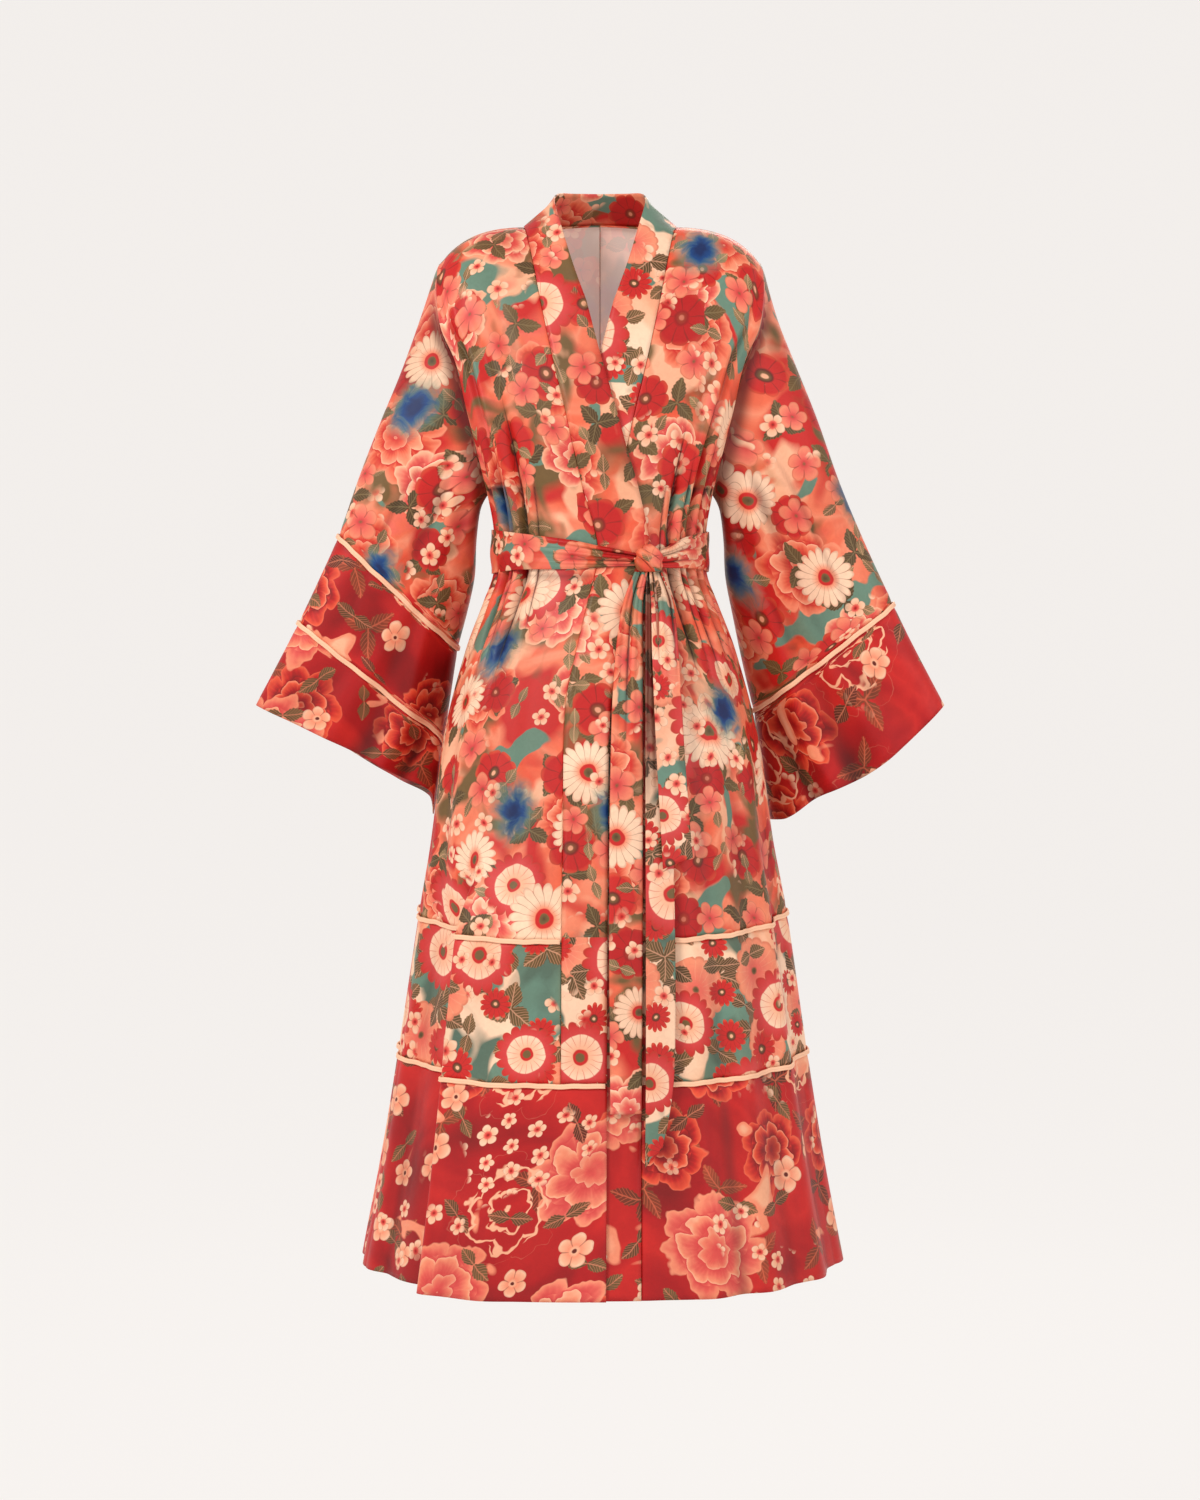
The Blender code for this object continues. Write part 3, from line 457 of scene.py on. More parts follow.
def body(turn, level):
    """Point of the body surface, with its folds."""
    turn = turned(turn, 0)
    behind = abs(turn) > 90
    sine, cosine = math.sin(math.radians(turn)), math.cos(math.radians(turn))
    half_width = read_table(BODY_RINGS, level, 1)
    depth = read_table(BODY_RINGS, level, 3 if behind else 2)
    above_underarm = max(0.0, level - UNDERARM)
    armhole = ARMHOLE_HALF_DEPTH * round_in(above_underarm / ARMHOLE_ROUND)
    x = math.copysign(half_width * abs(sine) ** (2 / SQUARENESS), sine)
    y = armhole + (depth - armhole) * abs(cosine) ** (2 / SQUARENESS)
    y = y if behind else -y
    z = level
    if above_underarm > 0:
        z = UNDERARM + (shoulder_height(x, behind) - UNDERARM) * above_underarm / -UNDERARM
        start_y = shoulder_y(x, behind, level)
        y = start_y + (y - start_y) * round_in(-level / SHOULDER_ROUND)
    outward = Vector((x / half_width**2, y / depth**2, 0))
    outward = outward.normalized() if outward.length > 0 else Vector((0, 0, 0))
    point = Vector((x, y, z)) - outward * fold_depth(turn, level)
    share = smooth_step(DEEP_FOLD_START, DEEP_FOLD_FULL, level)
    if share > 0:
        along = math.radians(turn - DEEP_FOLD_TURN) * DEEP_FOLD_RADIUS
        tuck = DEEP_FOLD_TUCK * along * bump(along, DEEP_FOLD_WIDTH)
        out = DEEP_FOLD_DEPTH * math.tanh(along / DEEP_FOLD_TURN_IN) * bump(along, DEEP_FOLD_REACH)
        towards_front = Vector((-outward.y, outward.x, 0))
        point += share * (out * outward - tuck * towards_front)
    place = Vector((point.x * 13, point.y * 13, point.z * 4))
    point += outward * RIPPLE * noise.noise(place)
    return point


def left_front(turn, level):
    """The body surface on the left front, which lies under the right one near the centre."""
    point = body(turn, level)
    near_centre = 1 - smooth_step(0.065, 0.125, point.x)
    point.y += UNDERLAP * near_centre * smooth_step(*UNDERLAP_LEVELS, level)
    return point


def normal_at(surface, turn, level, turn_reach, level_reach):
    """Outward normal of a surface, measured over a reach of turn and level."""
    sideways = surface(turn + turn_reach, level) - surface(turn - turn_reach, level)
    upwards = surface(turn, level + level_reach) - surface(turn, level - level_reach)
    return sideways.cross(upwards).normalized()


def lifted(surface, turn, level, lift):
    """A surface point moved outwards along the surface normal."""
    return surface(turn, level) + normal_at(surface, turn, level, 0.2, 0.001) * lift


def tier_end(level, front_drop, back_drop):
    """Curve that a tier ends on: its level at the sides, and its drop at the centre front and back."""
    def end(turn):
        front = math.cos(math.radians(turn))
        return level - (front_drop * front if front > 0 else -back_drop * front)
    return end


upper_tier_end = tier_end(-0.816, 0.018, 0.006)
middle_tier_end = tier_end(-0.985, 0.014, 0.006)
hem = tier_end(-1.241, 0.004, 0.0)


def sleeve(table, cuff, side, station, around):
    """Point of a sleeve. Around runs from the outer edge, 0, over the front to the inner one, 180, and back behind."""
    angle = math.radians(around)
    share = (1 - math.cos(angle)) / 2
    front = math.sin(angle) >= 0
    outer = Vector(read_row(table, station, 1, 2, 3))
    inner = Vector(read_row(table, station, 4, 5, 6))
    depth = read_table(table, station, 7)
    bulge = max(0.0, 1 - abs(math.cos(angle)) ** SLEEVE_SQUARENESS) ** (1 / SLEEVE_SQUARENESS)
    fold = 0.0
    for at_armhole, at_cuff, half_width, depth_of_fold in SLEEVE_FOLDS:
        line = at_armhole + (at_cuff - at_armhole) * station / LAST_STATION
        line += 0.03 * math.sin(station * 1.1 + at_cuff * 9) + (0.0 if front else 0.07)
        strength = smooth_step(0.5, 3, station) * (0.75 + 0.25 * math.sin(station * 0.9 + at_armhole * 7))
        fold += depth_of_fold * bump(share - line, half_width) * strength
    point = outer + (inner - outer) * share
    point.y += (fold - depth * bulge) if front else (depth * bulge - fold)
    chord = (inner - outer).normalized()
    drop = read_table(cuff, share, 1 if front else 2)
    point += Vector((-chord.z, 0, chord.x)).normalized() * -drop * smooth_step(CUFF_START - 2, LAST_STATION, station)
    if station < 1:
        turn = 89.999 if front else 90.001
        at_armhole = body(turn, UNDERARM * share)
        plain = Vector([table[0][c] + (table[0][c + 3] - table[0][c]) * share for c in (1, 2, 3)])
        plain.y += -table[0][7] * bulge if front else table[0][7] * bulge
        point += (at_armhole - plain) * (1 - station) ** 2
    place = Vector((point.x * 12 + 3, point.y * 12, point.z * 6))
    point.y += RIPPLE * noise.noise(place) * smooth_step(0, 1, station) * (1 if front else -1)
    point.x *= side
    return point


def spread(start, end, step):
    """Even values from start to end, at most a step apart."""
    count = max(1, math.ceil(abs(end - start) / step))
    return [start + (end - start) * i / count for i in range(count + 1)]


def paint(red, green, blue):
    """A colour as the shaders take it, from its 0 to 255 values."""
    def linear(value):
        value /= 255
        return value / 12.92 if value <= 0.04045 else ((value + 0.055) / 1.055) ** 2.4
    return (linear(red), linear(green), linear(blue), 1)


# Dyes of the prints
CORAL = paint(232, 112, 80)
SALMON = paint(240, 146, 114)
ORANGE = paint(228, 86, 56)
PEACH = paint(244, 182, 148)
CREAM = paint(247, 211, 182)
PINK = paint(228, 104, 90)
ROSE = paint(208, 66, 66)
RED = paint(198, 32, 28)
DEEP_RED = paint(168, 12, 18)
DARK_RED = paint(128, 10, 12)
MAROON = paint(98, 30, 18)
RUST = paint(158, 66, 38)
OLIVE = paint(112, 88, 50)
DARK_OLIVE = paint(78, 60, 34)
MOSS = paint(146, 128, 88)
TEAL = paint(100, 136, 120)
SLATE = paint(84, 110, 96)
BLUE = paint(16, 66, 128)
DARK_BLUE = paint(10, 38, 92)
WRONG_SIDE = paint(224, 212, 206)
PIPING = paint(250, 204, 168)
# Painted shade: dark colour multiplied into the cloth's colour in creases and where other cloth covers it
PAINTED_CREASE_SHADE = (0.13, 0.034, 0.026, 1)

# Print: softness of a motif's edge, roundness of a petal, reach of a peony and of a leaf in its square, rings of petals
PRINT_EDGE = 0.03
PETAL_POINT = 0.6
PEONY_REACH = 0.42
LEAF_REACH = 0.46
PEONY_LAYERS = 3.0

# Weave: depth of its bumps in metres, and threads to a metre, as angles, across and along the cloth
WEAVE_DEPTH = 0.00006
THREADS_ACROSS = 12000.0
THREADS_ALONG = 9000.0


def set_inputs(owner, node, values):
    """Sets values on a node of a material or of the world."""
    for key, value in values.items():
        owner.node_tree.nodes[node].inputs[key].default_value = value


class Value:
    """A number on a shader socket. Operators on it add Math nodes."""

    def __init__(self, finish, socket):
        self.finish = finish
        self.socket = socket

    def __add__(self, other):
        return self.finish.maths("ADD", self, other)

    __radd__ = __add__

    def __sub__(self, other):
        return self.finish.maths("SUBTRACT", self, other)

    def __rsub__(self, other):
        return self.finish.maths("SUBTRACT", other, self)

    def __mul__(self, other):
        return self.finish.maths("MULTIPLY", self, other)

    __rmul__ = __mul__

    def __truediv__(self, other):
        return self.finish.maths("DIVIDE", self, other)

    def __rtruediv__(self, other):
        return self.finish.maths("DIVIDE", other, self)

    def __pow__(self, other):
        return self.finish.maths("POWER", self, other)

    def __rpow__(self, other):
        return self.finish.maths("POWER", other, self)


class Finish:
    """A cloth finish while its shader nodes are added."""

    def __init__(self, name):
        self.material = bpy.data.materials.new(name)
        self.material.use_nodes = True
        self.tree = self.material.node_tree
        self.shader = self.tree.nodes["Principled BSDF"]
        self.place = self.node("UVMap", {"uv_map": "print"})

    def lay_ground(self, stops, scale, distortion):
        """Ground colour of a print. Motifs are drawn at places bent a little, so that no outline is perfect."""
        inputs = {"Vector": self.place, "Scale": 36.0, "Detail": 2.0}
        bend = self.node("TexNoise", {"noise_dimensions": "2D"}, inputs, 1)
        self.drawn = self.vectors("MULTIPLY_ADD", bend, (0.006, 0.006, 0), self.place)
        self.colour = self.ramp(self.noise(self.place, scale, 3.0, distortion), stops)

    def node(self, kind, settings=None, inputs=None, output=0):
        """Any node, from its type, settings and the values or links of its sockets. Gives one of its outputs."""
        made = self.tree.nodes.new("ShaderNode" + kind)
        for key, value in (settings or {}).items():
            setattr(made, key, value)
        for key, value in (inputs or {}).items():
            if isinstance(value, Value):
                self.tree.links.new(value.socket, made.inputs[key])
            else:
                made.inputs[key].default_value = value
        return Value(self, made.outputs[output])

    def maths(self, operation, *values, clamp=False):
        return self.node("Math", {"operation": operation, "use_clamp": clamp}, dict(enumerate(values)))

    def vectors(self, operation, *values, output=0, **named):
        return self.node("VectorMath", {"operation": operation}, {**dict(enumerate(values)), **named}, output)

    def mix(self, factor, first, second, how="MIX"):
        settings = {"data_type": "RGBA", "blend_type": how, "clamp_factor": True}
        return self.node("Mix", settings, {0: factor, 6: first, 7: second}, 2)

    def edge(self, inside, softness):
        """1 where a value is above 0, 0 where it is below, over a soft edge."""
        return self.maths("ADD", inside * (1 / softness), 0.5, clamp=True)

    def ramp(self, factor, stops):
        made = self.node("ValToRGB", None, {0: factor})
        elements = made.socket.node.color_ramp.elements
        while len(elements) < len(stops):
            elements.new(0.5)
        for element, (place, colour) in zip(elements, stops):
            element.position = place
            element.color = colour
        return made

    def parts(self, vector):
        """The three numbers of a vector or colour."""
        made = self.node("SeparateXYZ", None, {0: vector})
        return [Value(self, output) for output in made.socket.node.outputs]

    def noise(self, place, scale, detail=2.0, distortion=0.0, shift=(0, 0, 0)):
        moved = self.vectors("ADD", place, shift)
        inputs = {"Vector": moved, "Scale": scale, "Detail": detail, "Distortion": distortion}
        return self.node("TexNoise", {"noise_dimensions": "2D"}, inputs)

    def squares(self, place, size, turn, seed, jitter=0.3):
        """Turned rows of squares, each row shifted. Gives local x and y, and four random numbers of the square."""
        inputs = {"Vector": place, "Location": (seed * 0.37, seed * 0.61, 0), "Rotation": (0, 0, turn),
                  "Scale": (1 / size, 1 / size, 0)}
        x, y, _ = self.parts(self.node("Mapping", {"vector_type": "POINT"}, inputs))
        row = self.maths("FLOOR", y)
        x = x + row * 0.38
        column = self.maths("FLOOR", x)
        square = self.node("CombineXYZ", None, {0: column, 1: row, 2: seed})
        chance = self.node("TexWhiteNoise", {"noise_dimensions": "3D"}, {"Vector": square}, 1)
        other = self.node("TexWhiteNoise", {"noise_dimensions": "3D"}, {"Vector": square}, 0)
        first, second, third = self.parts(chance)
        x = x - column - 0.5 - (first - 0.5) * jitter
        y = y - row - 0.5 - (second - 0.5) * jitter
        return x, y, (first, second, third, other)

    def polar(self, x, y, chance):
        """Distance from a square's middle, and the angle there from a random start."""
        distance = self.maths("SQRT", x * x + y * y)
        angle = self.maths("ARCTAN2", y, x) + chance * 6.283
        return distance, angle

    def sprays(self, scale, seed, level):
        """1 where sprays of small flowers or leaves grow, 0 between them."""
        return self.edge(self.noise(self.place, scale, 1.0, 0.0, (seed * 1.7, seed * 0.9, 0)) - level, 0.04)

    def flowers(self, size, seed, petals, reach, stops, turn, depth, share, groove=0.5,
                groove_colour=MAROON, tint=None, where=None):
        """Flowers over a base colour: petals round a middle, coloured by distance, with thin grooves between them."""
        x, y, chance = self.squares(self.drawn, size, turn, seed)
        distance, angle = self.polar(x, y, chance[0])
        radius = distance / (chance[2] * 0.30 * reach + 0.70 * reach)
        lobe = self.maths("ABSOLUTE", self.maths("COSINE", angle * (petals / 2)))
        outline = (1 - depth) + lobe ** PETAL_POINT * depth
        mask = self.edge(outline - radius, PRINT_EDGE) * self.maths("LESS_THAN", chance[3], share)
        if where:
            mask = mask * where
        colour = self.ramp(radius, stops)
        if tint:
            colour = self.mix(chance[1] * 0.7, colour, tint)
        line = self.edge(0.16 - lobe, 0.16) * self.edge(radius - 0.3, 0.1) * groove
        colour = self.mix(line, colour, groove_colour)
        rim = self.edge(0.07 - (outline - radius), 0.06) * 0.30
        colour = self.mix(rim, colour, RUST)
        self.colour = self.mix(mask, self.colour, colour)

    def peonies(self, size, seed, stops, turn, share, drawn=None):
        """Full flowers: rings of scalloped petals, each shaded from its root to its rim, or only its outlines drawn."""
        x, y, chance = self.squares(self.drawn, size, turn, seed, 0.16)
        distance, angle = self.polar(x, y, chance[0])
        wobble = self.noise(self.drawn, 34.0, 2.0, 0.0, (seed, 0, 0)) - 0.5
        radius = distance / PEONY_REACH + wobble * 0.42
        turned = angle + self.maths("FLOOR", radius * PEONY_LAYERS) * 1.1
        scallop = self.maths("ABSOLUTE", self.maths("COSINE", turned * 3.5 + radius * 2.5))
        rings = (radius * (1.30 - scallop ** 0.6 * 0.30)) * PEONY_LAYERS
        mask = self.edge(PEONY_LAYERS * 0.96 - rings, PRINT_EDGE * PEONY_LAYERS)
        mask = mask * self.maths("LESS_THAN", chance[3], share)
        within = self.maths("FRACT", rings)
        if drawn:
            mask = mask * self.edge(self.maths("ABSOLUTE", within - 0.5) - 0.40, 0.06)
            self.colour = self.mix(mask, self.colour, drawn)
            return
        colour = self.ramp(within, stops)
        streaks = self.maths("ABSOLUTE", self.maths("SINE", turned * 21.0)) * self.edge(0.55 - within, 0.5) * 0.35
        colour = self.mix(streaks, colour, stops[0][1])
        colour = self.mix(self.edge(0.32 - radius, 0.5) * 0.5, colour, stops[0][1])
        self.colour = self.mix(mask, self.colour, colour)

    def leaves(self, size, seed, colours, vein, turn=0.9, share=0.8, blades=3, width=0.30, where=None):
        """Sprigs of leaves round a point, each with a midrib and side veins."""
        x, y, chance = self.squares(self.drawn, size, turn, seed, 0.2)
        distance, angle = self.polar(x, y, chance[0])
        folded = self.maths("WRAP", angle, math.pi / blades, -math.pi / blades)
        length = self.maths("COSINE", folded) * distance / LEAF_REACH
        across = self.maths("ABSOLUTE", self.maths("SINE", folded) * distance / LEAF_REACH)
        teeth = self.maths("SINE", length * 42.0) * 0.016
        shape = length * (1 - length) * 4.0 * width * (1.25 - length * 0.6) + teeth
        mask = self.edge(shape - across, 0.04) * self.maths("LESS_THAN", chance[3], share)
        if where:
            mask = mask * where
        colour = self.mix(chance[1], *colours)
        colour = self.mix(self.edge(0.45 - length, 0.6) * 0.45, colour, DARK_OLIVE)
        ribs = self.maths("FRACT", (length - across * 1.3) * 6.5)
        side_vein = self.edge(0.10 - self.maths("ABSOLUTE", ribs - 0.5), 0.10)
        midrib = self.edge(0.020 - across, 0.03)
        lines = self.maths("MAXIMUM", side_vein * 0.7, midrib)
        colour = self.mix(lines * 0.6, colour, vein)
        self.colour = self.mix(mask, self.colour, colour)

    def blots(self, size, seed, colour, reach, share, ragged):
        """Soft watercolour blots."""
        x, y, chance = self.squares(self.place, size, 0.2, seed, 0.2)
        distance = self.maths("SQRT", x * x + y * y * 0.6)
        rough = (self.noise(self.place, 55.0, 3.0, 0.8, (seed, seed, 0)) - 0.5) * ragged
        mask = self.edge(reach * 0.6 - distance + rough * reach, 0.5 * reach)
        mask = mask * self.maths("LESS_THAN", chance[3], share)
        self.colour = self.mix(mask, self.colour, colour)

    def patches(self, place, scale, shift, level, colour, soft):
        """Large patches with wandering edges."""
        amount = self.noise(place, scale, 2.0, 0.4, shift)
        self.colour = self.mix(self.edge(amount - level, soft), self.colour, colour)

    def wash(self, shift):
        """Uneven dye: slow changes of depth, and fine brush marks."""
        slow = self.noise(self.place, 7.0, 2.0, 0.3, (shift, 4.0, 0))
        fine = self.noise(self.place, 130.0, 2.0, 1.0, (shift, 9.0, 0))
        depth = self.mix((slow - 0.32) * 1.6, (1.0, 1.0, 1.0, 1), (0.80, 0.66, 0.60, 1))
        marks = self.mix(fine, (1.05, 1.04, 1.03, 1), (0.90, 0.86, 0.84, 1))
        self.colour = self.mix(1.0, self.mix(1.0, self.colour, depth, "MULTIPLY"), marks, "MULTIPLY")

    def close(self, roughness=0.44, sheen=0.10, fade=None, painted_glow=0.0):
        """Joins the colour, the satin's weave and its sheen to the shader. Painted shade darkens the colour in creases
        and covered places, ridges get a painted highlight, and a painted glow makes the colour emit light where one is
        given.
        """
        colour, place = self.colour, self.place
        if fade:
            colour = self.mix(fade, colour, WRONG_SIDE)
        # Amount of painted shade at each point, carried on the mesh
        painted_shade = self.node("Attribute", {"attribute_name": "painted_shade", "attribute_type": "GEOMETRY"}, None, 2)
        # Painted shade: the colour is darkened towards the dark crease colour where the amount is above 0.10
        crease = self.maths("MULTIPLY", painted_shade - 0.10, 1.12, clamp=True) ** 1.5
        # Painted highlight: the colour is lightened with peach where the amount is below 0
        painted_ridge_highlight = self.maths("MULTIPLY", painted_shade, -0.22, clamp=True)
        colour = self.mix(crease, colour, self.mix(1.0, colour, PAINTED_CREASE_SHADE, "MULTIPLY"))
        colour = self.mix(painted_ridge_highlight, colour, PEACH, "SOFT_LIGHT")
        x, y, _ = self.parts(place)
        threads = self.maths("SINE", x * THREADS_ACROSS) * 0.5
        threads = threads + self.maths("SINE", (y + x * 0.25) * THREADS_ALONG) * 0.5
        slubs = self.noise(self.vectors("MULTIPLY", place, (1.0, 6.0, 1.0)), 140.0, 2.0)
        height = threads * 0.35 + slubs * 1.6
        normal = self.node("Bump", None, {"Strength": 0.35, "Distance": WEAVE_DEPTH, "Height": height})
        worn = self.noise(place, 9.0, 3.0)
        values = {"Base Color": colour, "Normal": normal, "Roughness": worn * 0.12 + (roughness - 0.06 + slubs * 0.06)}
        # Painted glow: the colour is also given as emission, so the cloth sends out light of its own
        if painted_glow:
            values["Emission Color"] = colour
            set_inputs(self.material, "Principled BSDF", {"Emission Strength": painted_glow})
        for key, value in values.items():
            self.tree.links.new(value.socket, self.shader.inputs[key])
        set_inputs(self.material, "Principled BSDF", {"Metallic": 0, "Specular IOR Level": 0.32,
                   "Sheen Weight": sheen, "Sheen Roughness": 0.4, "Sheen Tint": SALMON})
        return self.material


DAISY = [(0.0, DARK_OLIVE), (0.13, OLIVE), (0.16, RED), (0.25, RED), (0.28, SALMON), (0.50, CREAM), (1.0, CREAM)]
RINGED_DAISY = [(0.0, OLIVE), (0.11, OLIVE), (0.14, RED), (0.20, RED), (0.23, PEACH), (0.60, CREAM), (0.63, ROSE),
                (1.0, RED)]
RED_FLOWER = [(0.0, PEACH), (0.08, PEACH), (0.12, OLIVE), (0.24, MAROON), (0.32, RED), (0.8, RED), (1.0, ORANGE)]
BLOSSOM = [(0.0, MAROON), (0.12, RED), (0.30, PINK), (0.42, PEACH), (1.0, CREAM)]
PINK_BLOSSOM = [(0.0, OLIVE), (0.14, ROSE), (0.4, PINK), (1.0, SALMON)]
ROUND_SALMON = [(0.0, DARK_OLIVE), (0.07, OLIVE), (0.12, PINK), (0.8, SALMON), (1.0, SALMON)]
PEACH_FLOWER = [(0.0, MAROON), (0.10, MAROON), (0.16, PEACH), (0.34, SALMON), (0.8, PEACH), (1.0, CREAM)]
CORAL_GROUND = [(0.27, RUST), (0.36, ORANGE), (0.45, CORAL), (0.54, SALMON), (0.62, CORAL), (0.72, PINK)]
CREAM_GROUND = [(0.32, CREAM), (0.50, CREAM), (0.58, PEACH), (0.66, SALMON), (0.76, PEACH)]
RED_GROUND = [(0.28, DARK_RED), (0.40, DEEP_RED), (0.56, RED), (0.68, DEEP_RED)]
PINK_PEONY = [(0.0, ROSE), (0.30, PINK), (0.80, PEACH), (1.0, CREAM)]
CORAL_PEONY = [(0.0, RED), (0.4, CORAL), (0.85, SALMON), (1.0, PEACH)]
HEM_PEONY = [(0.0, ROSE), (0.35, PINK), (0.82, SALMON), (1.0, PEACH)]
RED_PEONY = [(0.0, DARK_RED), (0.35, RED), (0.8, ORANGE), (1.0, SALMON)]


def coral_print(name, fade=None, painted_glow=0.0, blots=True):
    finish = Finish(name)
    finish.lay_ground(CORAL_GROUND, 8.0, 0.6)
    finish.patches(finish.place, 10.0, (7.7, 2.0, 0), 0.57, RED, 0.12)
    finish.patches(finish.place, 11.0, (3.1, 0, 0), 0.62, PEACH, 0.06)
    finish.patches(finish.place, 16.0, (9.4, 5.0, 0), 0.60, OLIVE, 0.14)
    finish.patches(finish.drawn, 12.0, (1.3, 9.0, 0), 0.635, TEAL, 0.02)
    finish.peonies(0.125, 1.0, CORAL_PEONY, turn=0.3, share=0.60)
    finish.peonies(0.110, 2.0, PINK_PEONY, turn=1.1, share=0.28)
    finish.leaves(0.064, 3.0, (OLIVE, DARK_OLIVE), MOSS, share=0.62)
    finish.flowers(0.078, 4.0, 9, 0.44, RED_FLOWER, turn=0.2, share=0.55, tint=DEEP_RED, depth=0.16)
    finish.leaves(0.046, 5.0, (MOSS, OLIVE), PEACH, turn=1.7, share=0.6, blades=2, where=finish.sprays(8.0, 5.0, 0.46))
    finish.flowers(0.056, 6.0, 5, 0.42, PINK_BLOSSOM, turn=1.2, share=0.42, depth=0.4)
    finish.flowers(0.128, 17.0, 16, 0.37, RINGED_DAISY, turn=1.9, share=0.20, depth=0.22,
                   groove=0.55, groove_colour=ROSE)
    finish.flowers(0.120, 7.0, 19, 0.36, DAISY, turn=0.8, share=0.36, depth=0.24, groove=0.45)
    finish.flowers(0.034, 8.0, 5, 0.43, BLOSSOM, turn=2.1, share=0.62, depth=0.42, where=finish.sprays(9.0, 8.0, 0.56))
    if blots:
        for colour_of_blot, reach, ragged in ((TEAL, 0.21, 0.5), (BLUE, 0.15, 0.9), (DARK_BLUE, 0.07, 1.2)):
            finish.blots(0.190, 9.0, colour_of_blot, share=0.32, reach=reach, ragged=ragged)
    finish.wash(0.0)
    return finish.close(fade=fade, painted_glow=painted_glow)


def cream_print(name, fade=None, painted_glow=0.0):
    finish = Finish(name)
    finish.lay_ground(CREAM_GROUND, 8.0, 0.5)
    finish.patches(finish.drawn, 9.0, (2.1, 4.0, 0), 0.565, TEAL, 0.015)
    finish.patches(finish.place, 14.0, (5.1, 1.0, 0), 0.62, SLATE, 0.10)
    finish.leaves(0.070, 11.0, (DARK_OLIVE, OLIVE), PEACH, share=0.85, width=0.38)
    finish.flowers(0.100, 12.0, 16, 0.42, ROUND_SALMON, turn=0.4, share=0.62, depth=0.08,
                   groove=0.30, groove_colour=PEACH)
    finish.leaves(0.055, 13.0, (DARK_OLIVE, OLIVE), PEACH, turn=2.0, share=0.72, blades=2, width=0.36)
    finish.flowers(0.052, 14.0, 13, 0.43, RED_FLOWER, turn=1.5, share=0.5, depth=0.34)
    finish.flowers(0.124, 15.0, 17, 0.40, RINGED_DAISY, turn=1.0, share=0.72, depth=0.20,
                   groove=0.60, groove_colour=ROSE)
    finish.flowers(0.036, 16.0, 5, 0.43, BLOSSOM, turn=0.1, share=0.65, depth=0.42,
                   where=finish.sprays(9.0, 16.0, 0.55))
    finish.wash(3.0)
    return finish.close(fade=fade, painted_glow=painted_glow)


def red_print(name, fade=None, painted_glow=0.0):
    finish = Finish(name)
    finish.lay_ground(RED_GROUND, 7.0, 0.5)
    finish.leaves(0.080, 21.0, (MAROON, RUST), CORAL, share=0.5, width=0.26)
    finish.peonies(0.125, 22.0, RED_PEONY, turn=0.9, share=0.42)
    finish.patches(finish.drawn, 11.0, (6.0, 3.0, 0), 0.675, SALMON, 0.015)
    finish.patches(finish.drawn, 11.0, (6.0, 3.0, 0), 0.73, PEACH, 0.05)
    finish.peonies(0.160, 23.0, HEM_PEONY, turn=0.2, share=0.36)
    finish.peonies(0.170, 27.0, PINK_PEONY, turn=1.4, share=0.22, drawn=PEACH)
    finish.leaves(0.060, 24.0, (OLIVE, MAROON), SALMON, turn=1.9, share=0.4, blades=2)
    finish.flowers(0.058, 25.0, 5, 0.40, PEACH_FLOWER, turn=0.5, share=0.18, depth=0.34)
    finish.flowers(0.030, 26.0, 5, 0.43, BLOSSOM, turn=1.3, share=0.60, depth=0.42,
                   where=finish.sprays(8.0, 26.0, 0.585))
    finish.wash(6.0)
    return finish.close(sheen=0.05, fade=fade, painted_glow=painted_glow)


def piping_cloth(name):
    """Plain bias cloth of the piping."""
    finish = Finish(name)
    tone = finish.noise(finish.place, 30.0, 3.0)
    finish.colour = finish.mix(tone, PIPING, PEACH)
    return finish.close(roughness=0.5)


def in_scene(name, data):
    made = bpy.data.objects.new(name, data)
    bpy.context.scene.collection.objects.link(made)
    return made


def new_piece(name, grid, finishes, thickness=0.0):
    mesh = bpy.data.meshes.new(name)
    grid.to_mesh(mesh)
    grid.free()
    mesh.shade_smooth()
    for finish in finishes:
        mesh.materials.append(finish)
    piece = in_scene(name, mesh)
    if thickness:
        wall = piece.modifiers.new("Wall", "SOLIDIFY")
        wall.thickness = thickness
        wall.offset = 0
        wall.material_offset = 1 if len(finishes) == 2 else 0
    return piece


def from_axis(point):
    """Outward direction at a point of the body, away from its upright axis."""
    return Vector((point.x, point.y, 0))


def normals_of(rows, outside, closed=False):
    """Outward normal at each point of a grid."""
    last = len(rows[0]) - 1
    found = []
    for i, row in enumerate(rows):
        upper, lower = rows[max(0, i - 1)], rows[min(len(rows) - 1, i + 1)]
        line = []
        for j in range(last + 1):
            before, after = max(0, j - 1), min(last, j + 1)
            if closed and j in (0, last):
                before, after = last - 1, 1
            normal = (row[after] - row[before]).cross(lower[j] - upper[j])
            line.append(normal.normalized() if normal.length > 0 else Vector((0, 0, 0)))
        found.append(line)
    total = sum(n.dot(outside(p)) for ns, ps in zip(found, rows) for n, p in zip(ns, ps))
    return found if total > 0 else [[-n for n in line] for line in found]


def painted_crease_shade_of(rows, normals, closed=False):
    """How concave the cloth is at each point: 1 in a sharp crease, below 0 where it bulges out. This is the painted
    shade mixed into its colour there, and below 0 a painted highlight.
    """
    height, width = len(rows), len(rows[0])
    found = []
    for i in range(height):
        line = []
        for j in range(width):
            amount = 0.0
            for reach, full in ((2, 0.0034), (5, 0.0080)):
                if closed:
                    left, right = rows[i][(j - reach) % (width - 1)], rows[i][(j + reach) % (width - 1)]
                else:
                    left, right = rows[i][max(0, j - reach)], rows[i][min(width - 1, j + reach)]
                up, down = rows[max(0, i - reach)][j], rows[min(height - 1, i + reach)][j]
                amount += ((left + right) / 2 - rows[i][j]).dot(normals[i][j]) / full
                amount += 0.5 * ((up + down) / 2 - rows[i][j]).dot(normals[i][j]) / full
            line.append(min(1.0, max(-1.0, amount)))
        found.append(line)
    return found


def turned_in(points, normals):
    """The seam allowance behind a sewn edge."""
    return [point - normal * SEAM_ALLOWANCE for point, normal in zip(points, normals)]


